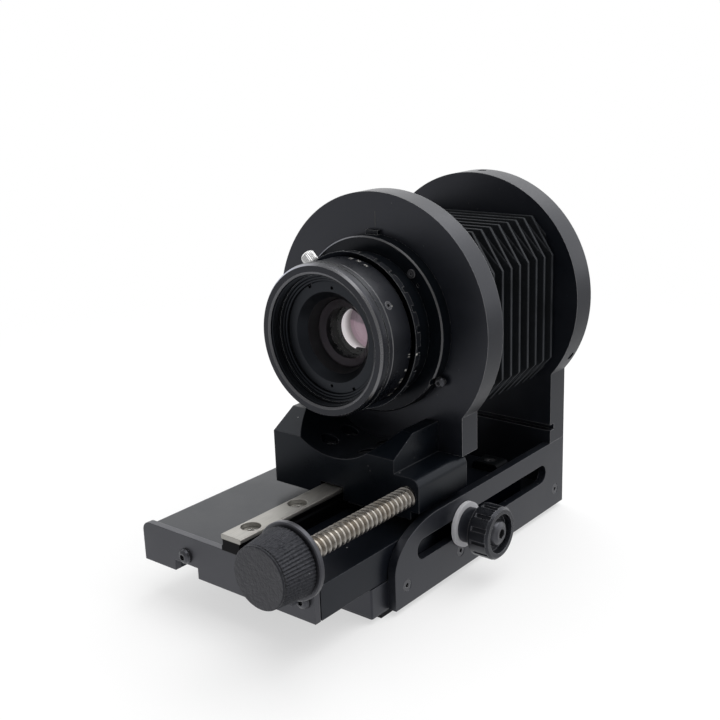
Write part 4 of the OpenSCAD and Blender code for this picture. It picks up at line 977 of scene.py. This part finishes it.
view = dict(eye=(205.48, -267.62, 160.17), azimuth=39.38, elevation=16.04, roll=-2.02, lens=54.20, sensor=36,
    nearest=0.01, farthest=50)


def setCamera():
    az, el, roll = (math.radians(view[k]) for k in ("azimuth", "elevation", "roll"))
    back = Vector((math.sin(az) * math.cos(el), -math.cos(az) * math.cos(el), math.sin(el)))
    right = (-back).cross(Vector((0, 0, 1))).normalized()
    up = right.cross(-back)
    rolledRight = math.cos(roll) * right + math.sin(roll) * up
    rolledUp = -math.sin(roll) * right + math.cos(roll) * up
    camera = bpy.data.objects.new("photoCamera", bpy.data.cameras.new("photoCamera"))
    scene.collection.objects.link(camera)
    camera.data.sensor_width = view["sensor"]
    camera.data.lens = view["lens"]
    camera.data.clip_start = view["nearest"]
    camera.data.clip_end = view["farthest"]
    turn = Matrix((rolledRight, rolledUp, back)).transposed().to_4x4()
    camera.matrix_world = Matrix.Translation(Vector(view["eye"]) * mm) @ turn
    scene.camera = camera


setCamera()
print("camera set")


# white sweep and soft tent light

sweep = dict(half=6.0, dark=(0.90, 0.90, 0.90, 1), light=(0.92, 0.92, 0.92, 1), fade=(0.06, 0.40, 0.58, 1.0),
    dimmer=(-0.05, 0.15, 0.12, 0.50), rough=0.9, specular=0.1, toneScale=3.0, tone=(0.3, 0.7))
tent = dict(front=0.38, back=1.3, turn=(-0.2, 0.7))
white = (1, 1, 1, 1)
softboxes = [
    dict(name="topBox", at=(0.15, 0.2, 0.85), aim=(0, 0, 0.05), side=1.0, power=6.0),
    dict(name="leftBox", at=(-0.7, 0.05, 0.4), aim=(0, 0, 0.06), side=0.6, power=1.2),
]


def setStage():
    h = sweep["half"]
    floorMesh = bpy.data.meshes.new("floor")
    floorMesh.from_pydata([(-h, -h, 0), (h, -h, 0), (h, h, 0), (-h, h, 0)], [], [(0, 1, 2, 3)])
    floor = bpy.data.objects.new("floor", floorMesh)
    scene.collection.objects.link(floor)
    material, tree, shader = newMaterial("whiteSweep", Roughness=sweep["rough"],
        Specular_IOR_Level=sweep["specular"])
    coords = place(tree, "ShaderNodeTexCoord")
    tone = mapRange(tree, spot(tree, coords.outputs["Object"], sweep["toneScale"]), *sweep["tone"])
    tree.links.new(mixColour(tree, tone, sweep["dark"], sweep["light"]), shader.inputs["Base Color"])
    # seen directly, the sweep runs out to plain white away from the part
    path = tree.nodes.new("ShaderNodeLightPath")
    direct = math2(tree, "MAXIMUM", path.outputs["Is Camera Ray"], path.outputs["Is Transmission Ray"])
    distance = place(tree, "ShaderNodeVectorMath", operation="LENGTH")
    tree.links.new(coords.outputs["Object"], distance.inputs[0])
    fade = mapRange(tree, distance.outputs["Value"], *sweep["fade"])
    # in reflections it is dimmer, most of all on the right
    mirrored = path.outputs["Is Glossy Ray"]
    dimmer = mapRange(tree, axesOf(tree)["X"], *sweep["dimmer"])
    glow = place(tree, "ShaderNodeEmission", Color=white)
    lost = math2(tree, "MULTIPLY", mirrored, dimmer)
    tree.links.new(math2(tree, "SUBTRACT", 1.0, lost), glow.inputs["Strength"])
    mix = tree.nodes.new("ShaderNodeMixShader")
    share = math2(tree, "MAXIMUM", math2(tree, "MULTIPLY", direct, fade), mirrored)
    tree.links.new(share, mix.inputs[0])
    tree.links.new(shader.outputs[0], mix.inputs[1])
    tree.links.new(glow.outputs[0], mix.inputs[2])
    tree.links.new(mix.outputs[0], tree.nodes["Material Output"].inputs["Surface"])
    dress(floor, material)


def setWorld():
    world = bpy.data.worlds.new("tent")
    scene.world = world
    world.use_nodes = True
    tree = world.node_tree
    tree.nodes.clear()
    path = tree.nodes.new("ShaderNodeLightPath")
    behind = mapRange(tree, axesOf(tree, "Generated")["Y"], *tent["turn"], tent["front"], tent["back"])
    around = place(tree, "ShaderNodeBackground", Color=white)
    tree.links.new(behind, around.inputs["Strength"])
    seen = place(tree, "ShaderNodeBackground", Color=white, Strength=1.0)
    mix = tree.nodes.new("ShaderNodeMixShader")
    out = tree.nodes.new("ShaderNodeOutputWorld")
    direct = math2(tree, "MAXIMUM", path.outputs["Is Camera Ray"], path.outputs["Is Transmission Ray"])
    tree.links.new(direct, mix.inputs[0])
    tree.links.new(around.outputs[0], mix.inputs[1])
    tree.links.new(seen.outputs[0], mix.inputs[2])
    tree.links.new(mix.outputs[0], out.inputs[0])


def softbox(look):
    lamp = bpy.data.lights.new(look["name"], "AREA")
    lamp.shape = "RECTANGLE"
    lamp.size, lamp.size_y, lamp.energy = look["side"], look["side"], look["power"]
    holder = bpy.data.objects.new(look["name"], lamp)
    scene.collection.objects.link(holder)
    holder.location = look["at"]
    holder.rotation_euler = (Vector(look["aim"]) - Vector(look["at"])).to_track_quat("-Z", "Y").to_euler()


setStage()
setWorld()
for look in softboxes:
    softbox(look)
print("stage lit")
